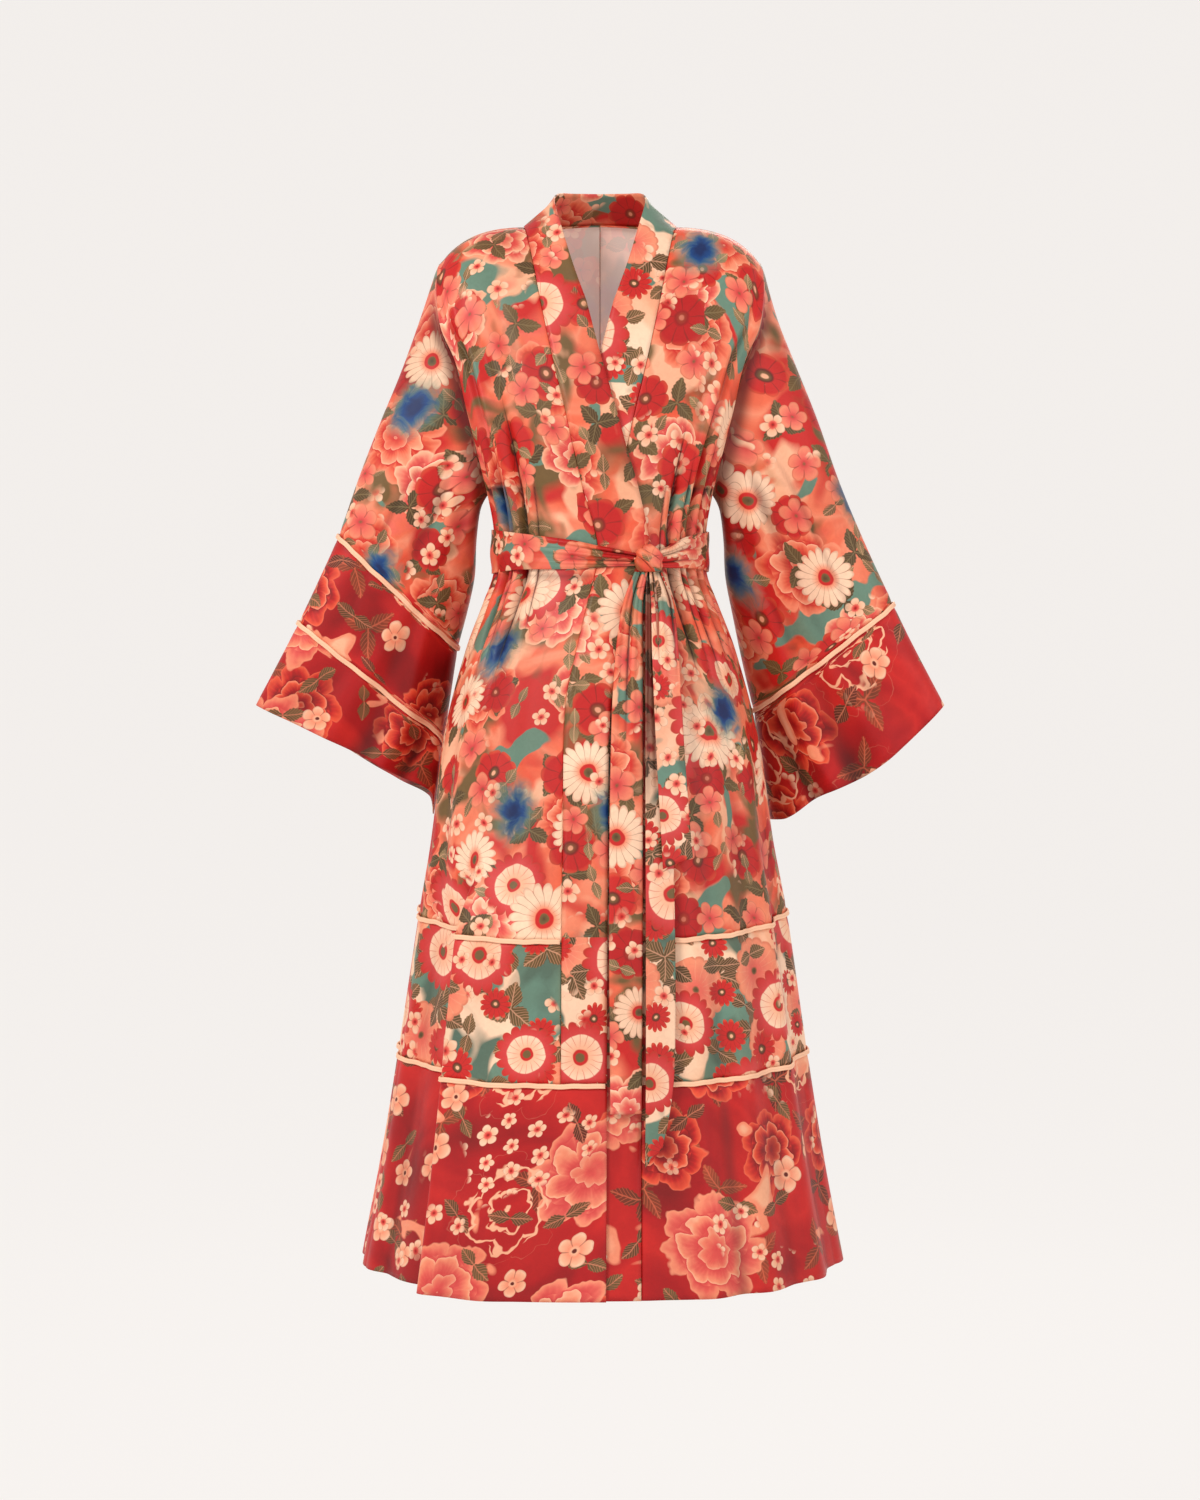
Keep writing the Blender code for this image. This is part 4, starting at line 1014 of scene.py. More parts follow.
def sew_edges(rows, sides, outside=from_axis):
    """Rolls a panel's sewn edges inwards and adds the seam allowance behind them."""
    normals = normals_of(rows, outside)
    last_row, last = len(rows) - 1, len(rows[0]) - 1
    rows = [[point.copy() for point in row] for row in rows]
    for i, row in enumerate(rows):
        for j, point in enumerate(row):
            distances = {"left": j, "right": last - j, "top": i, "bottom": last_row - i}
            near = [distances[side] for side in sides]
            nearest = min(near, default=9)
            if nearest < 2:
                point -= normals[i][j] * SEAM_SINK * (1.0 if nearest == 0 else 0.35)
    if "left" in sides:
        rows = [[row[0] - line[0] * SEAM_ALLOWANCE] + row for row, line in zip(rows, normals)]
        normals = [[line[0]] + line for line in normals]
    if "right" in sides:
        rows = [row + [row[-1] - line[-1] * SEAM_ALLOWANCE] for row, line in zip(rows, normals)]
        normals = [line + [line[-1]] for line in normals]
    if "top" in sides:
        rows.insert(0, turned_in(rows[0], normals[0]))
        normals.insert(0, normals[0])
    if "bottom" in sides:
        rows.append(turned_in(rows[-1], normals[-1]))
    return rows


def laid_flat(rows, middle):
    """Places of a grid's points on the flat cloth, measured out from one column so that the print isn't skewed."""
    width = len(rows[0])
    start = round(middle * (width - 1))
    places = []
    drift = 0.0
    for i, row in enumerate(rows):
        steps = running(row)
        down = [0.0] * width
        if i:
            for j in range(width):
                along = (row[min(width - 1, j + 1)] - row[max(0, j - 1)]).normalized()
                step = row[j] - rows[i - 1][j]
                slide = step.dot(along)
                down[j] = places[-1][j][1] - math.sqrt(max(0.0, step.length_squared - slide * slide))
                if j == start:
                    drift += slide
        places.append([(step - steps[start] + drift, d) for step, d in zip(steps, down)])
    return places


def laid_along(rows):
    """Places on the flat cloth for a band, measured along its middle."""
    middles = [row[len(row) // 2] for row in rows]
    places = []
    for i, (row, length) in enumerate(zip(rows, running(middles))):
        ahead = (middles[min(len(rows) - 1, i + 1)] - middles[max(0, i - 1)]).normalized()
        steps = running(row)
        half = steps[-1] / 2
        line = []
        for step, point in zip(steps, row):
            slide = (point - middles[i]).dot(ahead)
            wide = math.copysign(math.sqrt(max(0.0, (step - half) ** 2 - slide * slide)), step - half)
            line.append((wide, -length - slide))
        places.append(line)
    return places


def laid_from_fold(rows):
    """Places on the flat cloth of a sleeve, laid out both ways from the fold along its outer edge."""
    middle = len(rows[0]) // 2
    folds = [row[middle] for row in rows]
    places = []
    for i, (row, length) in enumerate(zip(rows, running(folds))):
        ahead = (folds[min(len(rows) - 1, i + 2)] - folds[max(0, i - 2)]).normalized()
        lean = (row[0] - folds[i]).normalized().dot(ahead)
        upright = math.sqrt(max(0.0, 1 - lean * lean))
        steps = running(row)
        reach = [step - steps[middle] for step in steps]
        places.append([(distance * upright, -length - abs(distance) * lean) for distance in reach])
    return places


def cloth_area(rows):
    total = 0.0
    for upper, lower in zip(rows, rows[1:]):
        for i in range(len(upper) - 1):
            total += (upper[i + 1] - upper[i]).cross(lower[i] - upper[i]).length / 2
            total += (lower[i] - lower[i + 1]).cross(upper[i + 1] - lower[i + 1]).length / 2
    return total


def flat_size(rows):
    """Width and length of the straight piece that a grid is cut from, and its cloth's area."""
    width = max(running(row)[-1] for row in rows)
    length = max(running(column)[-1] for column in zip(*rows))
    return round(width, 3), round(length, 3), round(cloth_area(rows), 4)


def grid_from(rows, painted_shades, places, shift=(0, 0), pick=None):
    """A grid from rows of points, with the painted shade of each point and its print coordinates in metres.
    Pick gives each row's finish."""
    grid = bmesh.new()
    bmesh.ops.create_grid(grid, x_segments=len(rows[0]) - 1, y_segments=len(rows) - 1, size=1)
    painted_shade = grid.verts.layers.float.new("painted_shade")
    layer = grid.loops.layers.uv.new("print")
    spots = {}
    for index, vertex in enumerate(sorted(grid.verts, key=lambda v: (round(v.co.y, 5), round(v.co.x, 5)))):
        i, j = divmod(index, len(rows[0]))
        vertex.co = rows[i][j]
        vertex[painted_shade] = painted_shades[i][j]
        spots[vertex] = (i, j)
    for face in grid.faces:
        corners = [spots[vertex] for vertex in face.verts]
        for loop, (i, j) in zip(face.loops, corners):
            loop[layer].uv = (places[i][j][0] + shift[0], places[i][j][1] + shift[1])
        if pick:
            face.material_index = pick(min(i for i, _ in corners))
    return grid


def cloth(name, rows, finishes, thickness=SINGLE_CLOTH, closed=False, shift=(0, 0), places=None, pick=None,
          outside=from_axis, shades=None):
    """A cloth piece from rows of points. Shades give more painted shade for each point's colour: under the belt, beside
    the armholes, in the belt's creases near the knot and where other cloth covers it.
    """
    painted_shades = painted_crease_shade_of(rows, normals_of(rows, outside, closed), closed)
    if shades:
        painted_shades = [[h + (1 - h) * s for h, s in zip(*lines)] for lines in zip(painted_shades, shades)]
    grid = grid_from(rows, painted_shades, places or laid_flat(rows, 0.5), shift, pick)
    if closed:
        bmesh.ops.remove_doubles(grid, verts=grid.verts, dist=0.00001)
    bmesh.ops.recalc_face_normals(grid, faces=grid.faces)
    if sum(face.normal.dot(outside(face.calc_center_median())) * face.calc_area() for face in grid.faces) < 0:
        bmesh.ops.reverse_faces(grid, faces=grid.faces)
    piece = new_piece(name, grid, finishes, thickness)
    sizes[name] = flat_size(rows)
    return piece


def add(piece, slot, held, *rests_on):
    """Attaches a cloth piece to the root and hides the CAD part that it stands in for. Slot, held and rests_on are not
    used.
    """
    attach(piece, "root")
    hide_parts(piece.name.removesuffix("_look"))


def front_edges(side, level):
    """Where a front's seam and its free edge lie at a level."""
    return read_row(FRONT_EDGES, level, *((1, 2) if side < 0 else (3, 4)))


def front_turns(side, level, to_edge=False):
    """Fine columns over a front at a level, from the side seam to the band's seam, or on to the free edge."""
    seam, free = [turn_at(x, level) for x in front_edges(side, level)]
    count = FRONT_COLUMNS[side]
    turns = [side * 90 + (seam - side * 90) * i / count for i in range(count + 1)]
    turns[0] = side * 89.999
    if to_edge:
        turns += [seam + (free - seam) * i / EDGE_COLUMNS for i in range(1, EDGE_COLUMNS + 1)]
    return turns


def back_turns(side, level):
    """Fine columns over the back, all of it or one half."""
    start, end = {0: (90.001, 269.999), 1: (90.001, 180), -1: (180, 269.999)}[side]
    return spread(start, end, 0.80 if side else 0.90)


def rows_between(turns_at, surface, start, end):
    """Rows of a surface's points between two curves."""
    steps = len(spread(start(0), end(0), LEVEL_STEP)) - 1
    rows = []
    for step in range(steps + 1):
        turns = turns_at(start(0) + (end(0) - start(0)) * step / steps)
        rows.append([surface(turn, start(turn) + (end(turn) - start(turn)) * step / steps) for turn in turns])
    return rows


def upper_panel(name, side, turns_at, surface, end, finishes, shift, start):
    """Panel from the shoulder seam to the end of the upper tier. Start is the share of the way across from which the
    print is measured."""
    turns_at = partial(turns_at, side)
    rows = [[surface(turn, level) for turn in turns_at(level)] for level in spread(0.0, UNDERARM, UPPER_STEP)[:-1]]
    rows = sew_edges(rows + rows_between(turns_at, surface, lambda turn: UNDERARM, end), ALL_ROUND)
    # Painted shade in a narrow line just below the belt
    shades = [[0.60 * bump(row[len(row) // 2].z - BELT_BOTTOM + 0.003, 0.006)] * len(row) for row in rows]
    return cloth(name, rows, finishes, shift=shift, places=laid_flat(rows, start), shades=shades)


def tier(name, turns_at, surface, start, end, finishes, sewn, shift):
    """A tier of the skirt between two end curves."""
    return cloth(name, sew_edges(rows_between(turns_at, surface, start, end), sewn), finishes, shift=shift)


def band_front_row(side, level):
    """Points across the front band at a level, from its seam to its free edge."""
    surface = body if side < 0 else left_front
    seam, free = front_edges(side, level)
    lift = BAND_STAND * smooth_step(-0.211, -0.094, level)
    row = []
    for step in range(BAND_COLUMNS + 1):
        share = step / BAND_COLUMNS
        x = seam + (free - seam) * share
        row.append(lifted(surface, turn_at(x, level), level, lift * share))
    if side > 0:
        beneath = UNDERLAP * smooth_step(*UNDERLAP_LEVELS, level)
        for point in row:
            if point.x < 0.06:
                point.y = body(turn_at(point.x, level), level).y + beneath
    return row


def band_neck_row(side, station):
    """Points across the neck band. Stations 0 to 3 follow the back neck, 4 to 6 the top of the front."""
    if station <= 3:
        seam = back_neck_seam(read_table(NECK_TURNS, station, 1))
    else:
        level = UNDERARM * (1 - math.cos(math.pi * (station - 3) / 8)) / 2
        front = body(turn_at(read_table(FRONT_EDGES, level, 3), level), level)
        seam = back_neck_seam(NECK_TURNS[-1][1]).lerp(front, smooth_step(3, 4, station))
    free = Vector(read_row(NECK_EDGE_ON, station, 1, 2, 3))
    row = []
    for step in range(BAND_COLUMNS + 1):
        point = seam.lerp(free, step / BAND_COLUMNS)
        row.append(Vector((side * point.x, point.y, point.z)))
    return row


def back_neck_seam(turn):
    x = read_table(BODY_RINGS, 0, 1) * math.sin(math.radians(turn)) ** (2 / SQUARENESS)
    return Vector((x, shoulder_y(x, True), shoulder_height(x, True)))


BAND_LEVEL_AT_6 = UNDERARM * (1 - math.cos(math.pi * 3 / 8)) / 2
NECK_EDGE_ON = (*NECK_EDGE, (6, *band_front_row(1, BAND_LEVEL_AT_6)[-1]))
RIGHT_BAND_END = -0.999 + 0.0032


def front_band(name, finishes):
    """The long band: up the right front, round the neck and down the left front."""
    right_levels = spread(BAND_LEVEL_AT_6, RIGHT_BAND_END, LEVEL_STEP)
    left_levels = spread(BAND_LEVEL_AT_6, hem(0), LEVEL_STEP)
    stations = spread(0.0, 6.0, 0.12)
    rows = [band_front_row(-1, level) for level in reversed(right_levels)]
    kinds = [1 if level < upper_tier_end(0) else 0 for level in reversed(right_levels)]
    rows += [band_neck_row(-1, station) for station in reversed(stations[1:-1])]
    kinds += [0] * (len(rows) - len(kinds))
    rows += [band_neck_row(1, station) for station in stations[:-1]]
    kinds += [1 if station > 2.6 else 0 for station in stations[:-1]]
    rows += [band_front_row(1, level) for level in left_levels]
    kinds += [1 if level > middle_tier_end(0) else 2 for level in left_levels]
    return cloth(name, rows, finishes, BAND_CLOTH, shift=(0.9, 0.33), places=laid_along(rows), pick=lambda i: kinds[i])


def sleeve_shade(point, angle):
    """Painted shade on a sleeve's colour: beside the armhole, where the body's front covers it, and along the underarm.
    """
    top = shoulder_height(read_table(BODY_RINGS, point.z, 1), False)
    level = max(UNDERARM, min(0.0, UNDERARM * (point.z - top) / (UNDERARM - top)))
    from_seam = abs(point.x) - read_table(BODY_RINGS, level, 1)
    width = 0.018 + 0.016 * smooth_step(-0.05, -0.28, point.z)
    beside_armhole = (1 - smooth_step(0.006, width, from_seam)) * smooth_step(-0.045, -0.120, point.z)
    share = (1 - math.cos(math.radians(angle))) / 2
    return max(0.88 * beside_armhole * smooth_step(-0.40, -0.33, point.z), 0.56 * smooth_step(0.76, 0.98, share))


def sleeve_piece(name, shape, start, end, finishes, shift=(0, 0)):
    """A tube of sleeve cloth between two stations, with its seam along the underarm."""
    side = shape[2]
    rows, shades = [], []
    for station in spread(start, end, 0.10):
        row = [sleeve(*shape, station, angle) for angle in spread(180, 540, 2.0)[:-1]]
        rows.append(row + [row[0].copy()])
        shades.append([sleeve_shade(point, angle) for point, angle in zip(rows[-1], spread(180, 540, 2.0))])
    middles = [sum(row[:-1], Vector()) / (len(row) - 1) for row in rows]

    def outside(point):
        return point - min(middles, key=lambda middle: (middle - point).length)

    normals = normals_of(rows, outside, closed=True)
    for edge, beside in ((0, 1), (-1, -2)):
        if edge == 0 or end < LAST_STATION:
            for row, amount in ((rows[edge], 1.0), (rows[beside], 0.35)):
                for point, normal in zip(row, normals[edge]):
                    point -= normal * SEAM_SINK * amount
    if end < LAST_STATION:
        rows.append(turned_in(rows[-1], normals[-1]))
        shades.append(shades[-1])
    if start > 0:
        rows.insert(0, turned_in(rows[0], normals[0]))
    else:
        rows.insert(0, [point - Vector((side * SEAM_ALLOWANCE, 0, 0)) for point in rows[0]])
    shades.insert(0, shades[0])
    return cloth(name, rows, finishes, closed=True, shift=shift, places=laid_from_fold(rows), outside=outside,
                 shades=shades)


def trim(name, frames, finish, closed=False):
    """Flat double piping along frames of point, outward normal and direction across."""
    section = []
    for step in range(PIPING_SIDES):
        angle = 2 * math.pi * step / PIPING_SIDES
        wide, thick = math.cos(angle), math.sin(angle)
        groove = 0.45 * bump(wide, 0.28) * (1 if thick > 0 else 0)
        section.append((wide * PIPING_HALF_WIDTH, thick * PIPING_HALF_DEPTH * (1 - groove)))
    section.append(section[0])
    rows = []
    for index, (point, normal, across) in enumerate(frames):
        sway = 0.0004 * math.sin(index * 0.37) + 0.0003 * math.sin(index * 0.91 + 1)
        rows.append([point + across * (wide + sway) + normal * thick for wide, thick in section])
    if closed:
        rows.append([point.copy() for point in rows[0]])
    # Painted shade in the groove along the top of the piping
    painted_groove_shade = [0.35 if j == PIPING_SIDES // 4 else 0.0 for j in range(PIPING_SIDES + 1)]
    places = [[(j * 0.0012, along) for j in range(PIPING_SIDES + 1)] for along in running([row[0] for row in rows])]
    grid = grid_from(rows, [painted_groove_shade] * len(rows), places)
    bmesh.ops.remove_doubles(grid, verts=grid.verts, dist=0.00001)
    if not closed:
        bmesh.ops.holes_fill(grid, edges=[e for e in grid.edges if e.is_boundary], sides=0)
    bmesh.ops.recalc_face_normals(grid, faces=grid.faces)
    return new_piece(name, grid, [finish])


def with_frames(points, normals, closed=False):
    """Frames along a line: point, normal and the direction across the line."""
    frames = []
    count = len(points)
    for i, (point, normal) in enumerate(zip(points, normals)):
        before = points[i - 1] if i or closed else points[0]
        after = points[(i + 1) % count] if i < count - 1 or closed else points[-1]
        along = (after - before).normalized()
        across = along.cross(normal).normalized()
        frames.append((point, across.cross(along).normalized(), across))
    return frames


def sleeve_piping(name, shape, station, finish):
    side = shape[2]
    points, normals = [], []
    for angle in spread(0, 360, 3.0)[:-1]:
        round_way = sleeve(*shape, station, angle + 1) - sleeve(*shape, station, angle - 1)
        down_way = sleeve(*shape, station + 0.05, angle) - sleeve(*shape, station - 0.05, angle)
        normal = round_way.cross(down_way).normalized() * side
        points.append(sleeve(*shape, station, angle) + normal * (SINGLE_CLOTH / 2 + PIPING_HALF_DEPTH))
        normals.append(normal)
    return trim(name, with_frames(points, normals, True), finish, closed=True)


def skirt_piping(name, end, right_x, left_x, finish):
    right_end, left_end = turn_at(right_x, end(0)), turn_at(left_x, end(0))
    path = [(body, turn) for turn in spread(right_end, -90, 0.8)]
    path += [(body, turn) for turn in spread(-90, -270, 1.2)[1:]]
    path += [(left_front, turn) for turn in spread(90, left_end, 0.8)[1:]]
    points, normals = [], []
    for surface, turn in path:
        level = end(turn)
        normal = normal_at(surface, turn, level, 0.4, 0.003)
        points.append(surface(turn, level) + normal * (SINGLE_CLOTH / 2 + PIPING_HALF_DEPTH))
        normals.append(normal)
    return trim(name, with_frames(points, normals), finish)


def belt_ring(turn):
    """The belt's place at a turn: the plain oval of the waist, outside cloth and band."""
    sine, cosine = math.sin(math.radians(turn)), math.cos(math.radians(turn))
    lift = BELT_LIFT + 0.0006
    half_width = WAIST_OVAL[0] + lift
    depth = (WAIST_OVAL[1] if cosine > 0 else WAIST_OVAL[2]) + lift
    x = math.copysign(half_width * abs(sine) ** (2 / SQUARENESS), sine)
    y = math.copysign(depth * abs(cosine) ** (2 / SQUARENESS), -cosine)
    return x, y


def belt_wrap(name, finishes):
    rows, shades = [], []
    for share in spread(1, -1, 0.06):
        row, shade = [], []
        for index in range(361):
            turn = -180 + index % 360
            centre, half = read_row(BELT_LINE, turn, 1, 2)
            x, y = belt_ring(turn)
            outward = Vector((x, y, 0)).normalized()
            near_knot = 1 - smooth_step(3, 62, abs(turn - 20))
            side = 1 if turn > 20 else -1
            crease = 0.0029 * near_knot * math.sin(8.5 * share + 1.3 + side * 0.8)
            crease += 0.0015 * near_knot * math.sin(19.0 * share + side)
            crease += 0.0007 * math.sin(4.0 * share + turn * 0.05)
            swell = 0.0012 * (1 - share * share) + crease + 0.0012 * near_knot
            wave = 0.0012 * math.sin(math.radians(turn * 3.0)) * share
            row.append(Vector((x, y, centre + half * share + wave)) + outward * max(0.0, swell))
            # Painted shade in the valleys of the creases near the knot
            shade.append(0.95 * near_knot * min(1.0, max(0.0, -crease / 0.0026)))
        rows.append(row)
        shades.append(shade)
    return cloth(name, rows, finishes, BELT_CLOTH, closed=True, shift=(0.55, 0.21), shades=shades)


def knot_frame():
    """The knot's middle and its directions across and outwards."""
    before, after = belt_ring(KNOT_TURN - 8), belt_ring(KNOT_TURN + 8)
    across = Vector((after[0] - before[0], after[1] - before[1], 0)).normalized()
    outward = Vector((across.y, -across.x, 0))
    x, y = belt_ring(KNOT_TURN)
    middle = Vector((x, y, KNOT_HEIGHT)) + outward * (BELT_CLOTH / 2 + 0.0005 + 0.45 * KNOT_HALF_SIZE[1])
    return middle, across, outward


def belt_knot(name, finish):
    """The knot: a soft lump wrapped on a slant by the belt's own turn, with creases along the wrap."""
    middle, across, outward = knot_frame()
    width, depth, height = KNOT_HALF_SIZE
    rows = []
    for polar in spread(0.0, 180.0, 4.0):
        row = []
        for index in range(73):
            angle = math.radians(5 * (index % 72))
            z = math.cos(math.radians(polar))
            ring = math.sin(math.radians(polar))
            x, y = ring * math.cos(angle), ring * math.sin(angle)
            wrap = z * 0.80 + x * 0.60
            lie = x * 0.80 - z * 0.60
            shape = 0.10 * math.cos(wrap * 8.0 + 0.6) + 0.05 * math.cos(wrap * 17.0 + lie * 3.0)
            shape -= 0.20 * bump(wrap - 0.46 - 0.10 * lie, 0.11) + 0.18 * bump(wrap + 0.52 + 0.16 * lie, 0.12)
            shape += 0.10 * bump(wrap - 0.02, 0.26)
            scale = 1 + shape * (0.35 + 0.65 * max(0.0, -y))
            flat = Vector((x * scale * (1 - 0.10 * z), min(-y * scale, 1.05) if y < 0 else -min(y, 0.45), 0))
            z = max(z * scale, -0.83)
            row.append(middle + across * flat.x * width + outward * flat.y * depth + Vector((0, 0, z * height)))
        rows.append(row)
    piece = cloth(name, rows, [finish], 0.0, closed=True, shift=(0.62, 0.90), outside=lambda point: point - middle)
    del sizes[name]
    return piece


def belt_end(name, table, finishes, slant, shift, phase, painted_shade_heights):
    """A loose end of the belt, gathered at the knot and hanging down the front of the skirt. Its last argument gives
    the heights between which its painted shade fades out, where it comes out from under the other ends."""
    top, bottom = table[0][0], table[-1][0]
    rows = []
    for height in spread(top, bottom, 0.005):
        left, right, lift = read_row(table, height, 1, 2, 3)
        down = (top - height) / (top - bottom)
        tight = 1 - smooth_step(0, 0.55, down)
        row = []
        for step in range(END_COLUMNS + 1):
            share = step / END_COLUMNS
            x = left + (right - left) * share
            z = height + slant * (share - 0.5) * smooth_step(0.94, 1.0, down)
            folds = BELT_GATHER * tight * math.sin(share * 10.0 + phase + down * 2.0)
            folds += 0.5 * BELT_GATHER * tight * math.sin(share * 21.0 + phase * 2)
            curl = 0.0016 * (1 - tight) * math.sin(share * math.pi + phase) + 0.0009 * math.sin(height * 26 + phase)
            row.append(Vector((x, plain_front(x, z) - lift - folds - curl, z)))
        rows.append(row)
    # Painted shade over the part that the other ends cover, fading out between the two heights
    shades = [[0.86 * smooth_step(*painted_shade_heights, row[END_COLUMNS // 2].z)] * len(row) for row in rows] if painted_shade_heights else None
    return cloth(name, rows, finishes, BELT_CLOTH, shift=shift, places=laid_along(rows),
                 outside=lambda point: Vector((0, -1, 0)), shades=shades)


def plain_front(x, level):
    """Depth of the plain front, without its folds, at a distance from the centre line."""
    cosine = math.cos(math.radians(turn_at(x, level)))
    return -read_table(BODY_RINGS, level, 2) * abs(cosine) ** (2 / SQUARENESS)


sizes = {}

coral = coral_print("coral print")
# The wrong sides fade to a paler colour, and a painted glow makes them emit light of their own
coral_inside = coral_print("coral print wrong side", 0.76, 0.26)
belt_cloth = coral_print("belt print", blots=False)
cream = cream_print("cream print")
cream_inside = cream_print("cream print wrong side", 0.66, 0.20)
red = red_print("red print")
red_inside = red_print("red print wrong side", 0.12, 0.06)
piping = piping_cloth("piping cloth")

CORAL_CLOTH, CREAM_CLOTH, RED_CLOTH = [coral, coral_inside], [cream, cream_inside], [red, red_inside]

for name, side, turns_at, surface, shift, start, rests_on in (
    ("front_right", -1, front_turns, body, (-0.31, 0.05), 1.0, ("back_right", "belt_wrap")),
    ("front_left", 1, front_turns, left_front, (0.42, 0.17), 1.0, ("back_left", "belt_wrap")),
    ("back_right", -1, back_turns, body, (0.87, 0.31), 0.0, ("belt_wrap",)),
    ("back_left", 1, back_turns, body, (1.23, 0.64), 1.0, ("belt_wrap",)),
):
    piece = upper_panel(name + "_look", side, turns_at, surface, upper_tier_end, CORAL_CLOTH, shift, start)
    add(piece, "main_print", "gathered", *rests_on)

for ends, finishes, slot, parts in (
    ((upper_tier_end, middle_tier_end), CREAM_CLOTH, "tier_print", (
        ("tier_right", partial(front_turns, -1), body, ALL_ROUND, (0.2, 0.1), ("front_right",)),
        ("tier_left", partial(front_turns, 1), left_front, ALL_ROUND, (0.7, 0.3), ("front_left",)),
        ("tier_back", partial(back_turns, 0), body, ALL_ROUND, (1.3, 0.2), ("back_right", "back_left")),
    )),
    ((middle_tier_end, hem), RED_CLOTH, "red_print", (
        ("hem_right", partial(front_turns, -1, to_edge=True), body, ("left", "top"), (0.1, 0.6), ("tier_right",)),
        ("hem_left", partial(front_turns, 1), left_front, ALL_ROUND[:3], (0.8, 0.9), ("tier_left",)),
        ("hem_back", partial(back_turns, 0), body, ALL_ROUND[:3], (1.9, 0.4), ("tier_back",)),
    )),
):
    for name, turns_at, surface, sewn, shift, rests_on in parts:
        add(tier(name + "_look", turns_at, surface, *ends, finishes, sewn, shift), slot, "hung", *rests_on)

add(front_band("front_band_look", [coral, cream, red]), "band_print", "hung", "front_right", "front_left")

right = (RIGHT_SLEEVE, RIGHT_CUFF, -1)
left = (LEFT_SLEEVE, LEFT_CUFF, 1)
for name, shape, start, end, finishes, shift, slot, rests_on in (
    ("sleeve_right", right, 0, 5, CORAL_CLOTH, (0.3, 0.5), "main_print", "front_right"),
    ("sleeve_right_band", right, 5, 7, RED_CLOTH, (0.4, 0.2), "red_print", "sleeve_right"),
    ("cuff_right", right, 7, 9, RED_CLOTH, (0.9, 0.7), "red_print", "sleeve_right_band"),
    ("sleeve_left", left, 0, 6, CORAL_CLOTH, (1.4, 0.8), "main_print", "front_left"),
    ("cuff_left", left, 6, 9, RED_CLOTH, (0.6, 1.1), "red_print", "sleeve_left"),
):
    add(sleeve_piece(name + "_look", shape, start, end, finishes, shift), slot, "hung", rests_on)

for name, shape, station in (("right_upper", right, 5), ("right_lower", right, 7), ("left", left, 6)):
    add(sleeve_piping(f"piping_{name}_look", shape, station, piping), "piping", "hung")
for name, end, right_x in (("upper", upper_tier_end, -0.0460), ("lower", middle_tier_end, 0.0060)):
    add(skirt_piping(f"piping_skirt_{name}_look", end, right_x, 0.0530, piping), "piping", "hung")

add(belt_wrap("belt_wrap_look", [belt_cloth]), "band_print", "stretched", "front_right", "back_left")
add(belt_knot("belt_knot_look", belt_cloth), "band_print", "folded", "belt_wrap")
# The last value of each end gives the heights where its painted shade fades out
for name, table, finish, slant, shift, phase, painted_shade_heights in (
    ("long_tail", LONG_TAIL, cream, 0.020, (0.2, 1.3), 1.5, (-0.745, -0.575)),
    ("near_tail", NEAR_TAIL, belt_cloth, 0.0, (0.5, 0.2), 0.4, None),
    ("short_end", SHORT_END, cream, 0.012, (1.0, 0.9), 2.6, None),
):
    piece = belt_end(f"belt_{name}_look", table, [finish], slant, shift, phase, painted_shade_heights)
    add(piece, "band_print", "hung", "belt_knot")


# Studio: a round pale room, open above
STUDIO_RADIUS = 6.0
STUDIO_BEND = 2.6
STUDIO_FLOOR = -2.050

# Camera: lens in millimetres, metres from the middle, height, and degrees that it looks down
CAMERA_LENS = 68.99
CAMERA_DISTANCE = 3.5
CAMERA_HEIGHT = -0.4026
CAMERA_TILT = 3.59


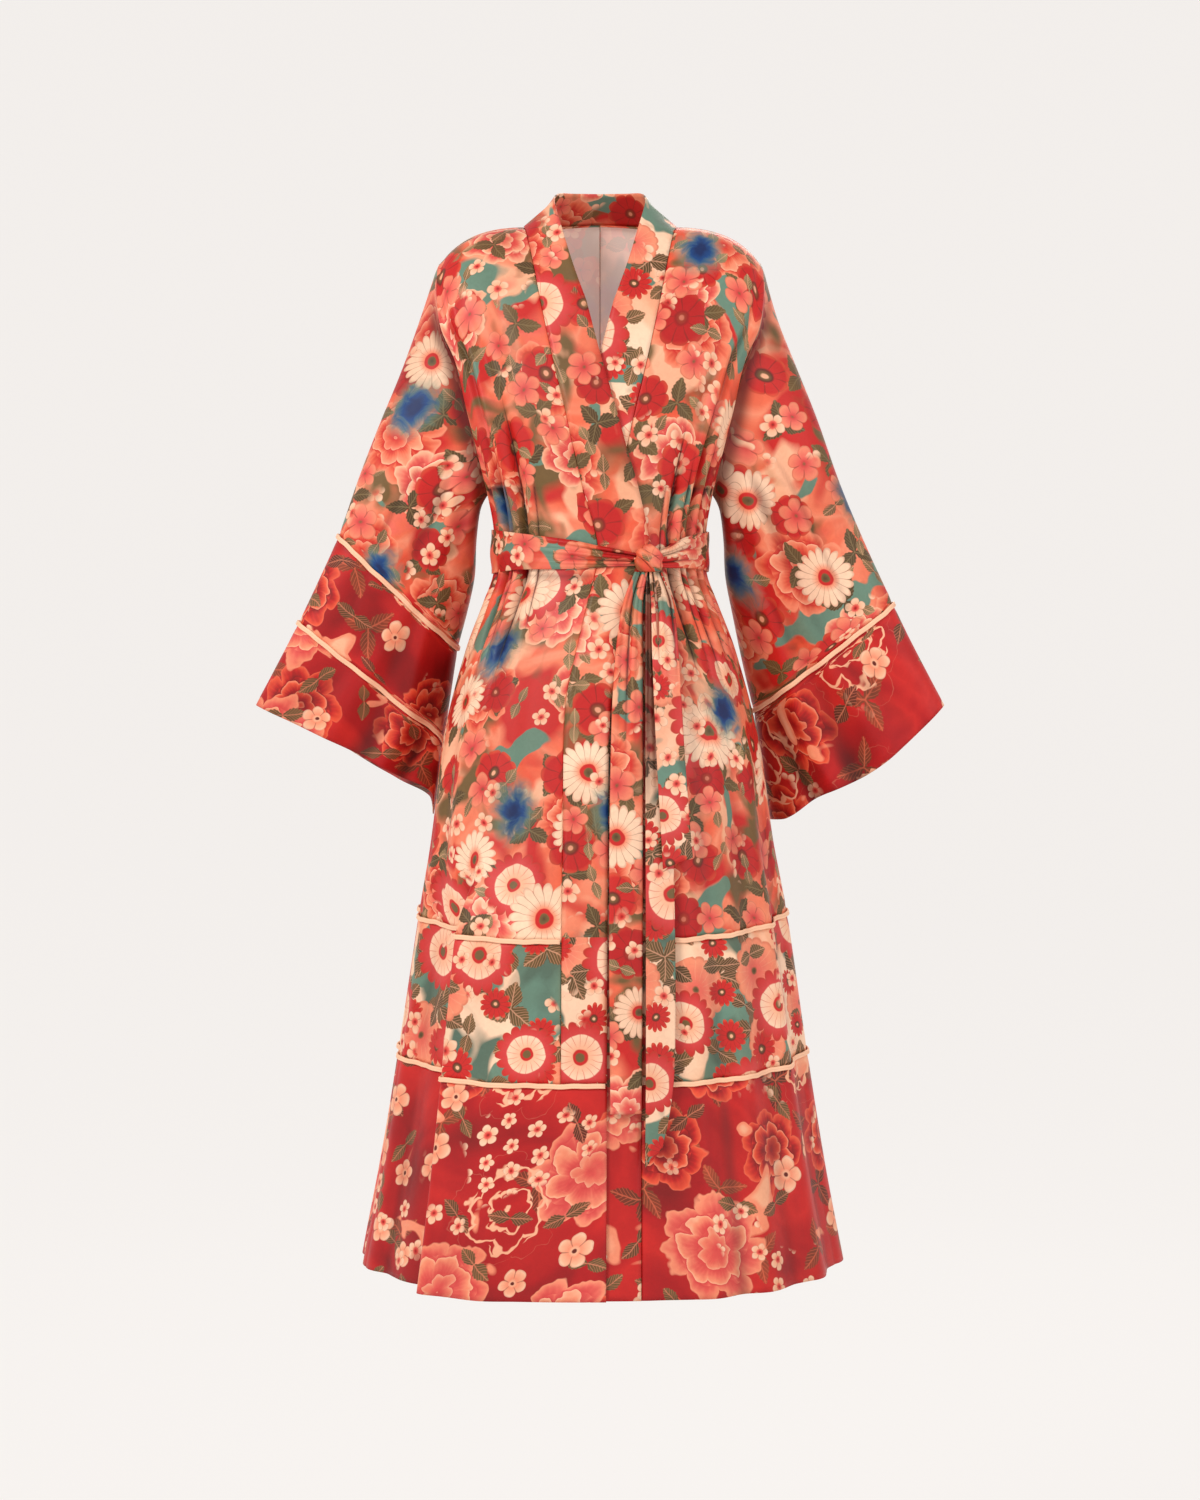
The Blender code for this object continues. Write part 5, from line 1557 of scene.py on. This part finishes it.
def studio():
    """Pale sweep, soft light and the camera."""
    bowl = bmesh.new()
    bmesh.ops.create_circle(bowl, cap_ends=True, segments=96, radius=STUDIO_RADIUS - STUDIO_BEND)
    for vertex in bowl.verts:
        vertex.co.z = STUDIO_FLOOR
    rim = [edge for edge in bowl.edges if edge.is_boundary]
    for step in range(1, 15):
        angle = min(step, 12) / 12 * math.pi / 2
        out = STUDIO_RADIUS - STUDIO_BEND + STUDIO_BEND * math.sin(angle)
        up = STUDIO_FLOOR + STUDIO_BEND * (1 - math.cos(angle)) + max(0, step - 12) * 1.6
        grown = bmesh.ops.extrude_edge_only(bowl, edges=rim)["geom"]
        for vertex in grown:
            if isinstance(vertex, bmesh.types.BMVert):
                flat = Vector((vertex.co.x, vertex.co.y, 0)).normalized() * out
                vertex.co = (flat.x, flat.y, up)
        rim = [edge for edge in grown if isinstance(edge, bmesh.types.BMEdge)]
    bmesh.ops.recalc_face_normals(bowl, faces=bowl.faces)
    bmesh.ops.reverse_faces(bowl, faces=bowl.faces)
    paper = bpy.data.materials.new("studio paper")
    paper.use_nodes = True
    set_inputs(paper, "Principled BSDF", {"Base Color": paint(96, 95, 94), "Roughness": 0.9,
                                          "Emission Color": paint(242, 238, 235), "Emission Strength": 0.87})
    new_piece("studio_sweep", bowl, [paper])

    world = bpy.data.worlds.new("studio light")
    world.use_nodes = True
    set_inputs(world, "Background", {"Color": (1.0, 1.0, 1.0, 1), "Strength": 0.62})
    bpy.context.scene.world = world

    for name, place, target, size, power in (
        ("key light", (-2.3, -2.9, 1.7), (0, 0, -0.5), 1.2, 84),
        ("fill light", (2.6, -2.6, 0.4), (0, 0, -0.6), 2.2, 24),
        ("back light", (0.9, 2.9, 1.6), (0, 0, -0.5), 2.0, 44),
    ):
        data = bpy.data.lights.new(name, "AREA")
        data.shape = "SQUARE"
        data.size = size
        data.energy = power
        data.color = (1.0, 0.965, 0.910)
        lamp = in_scene(name, data)
        lamp.location = place
        lamp.rotation_euler = (Vector(target) - Vector(place)).to_track_quat("-Z", "Y").to_euler()

    data = bpy.data.cameras.new("camera")
    data.sensor_fit = "VERTICAL"
    data.sensor_height = 36
    data.lens = CAMERA_LENS
    camera = in_scene("camera", data)
    camera.location = (0, -CAMERA_DISTANCE, CAMERA_HEIGHT)
    camera.rotation_euler = (math.radians(90 - CAMERA_TILT), 0, 0)
    bpy.context.scene.camera = camera
    bpy.context.scene.view_settings.view_transform = "Standard"


studio()
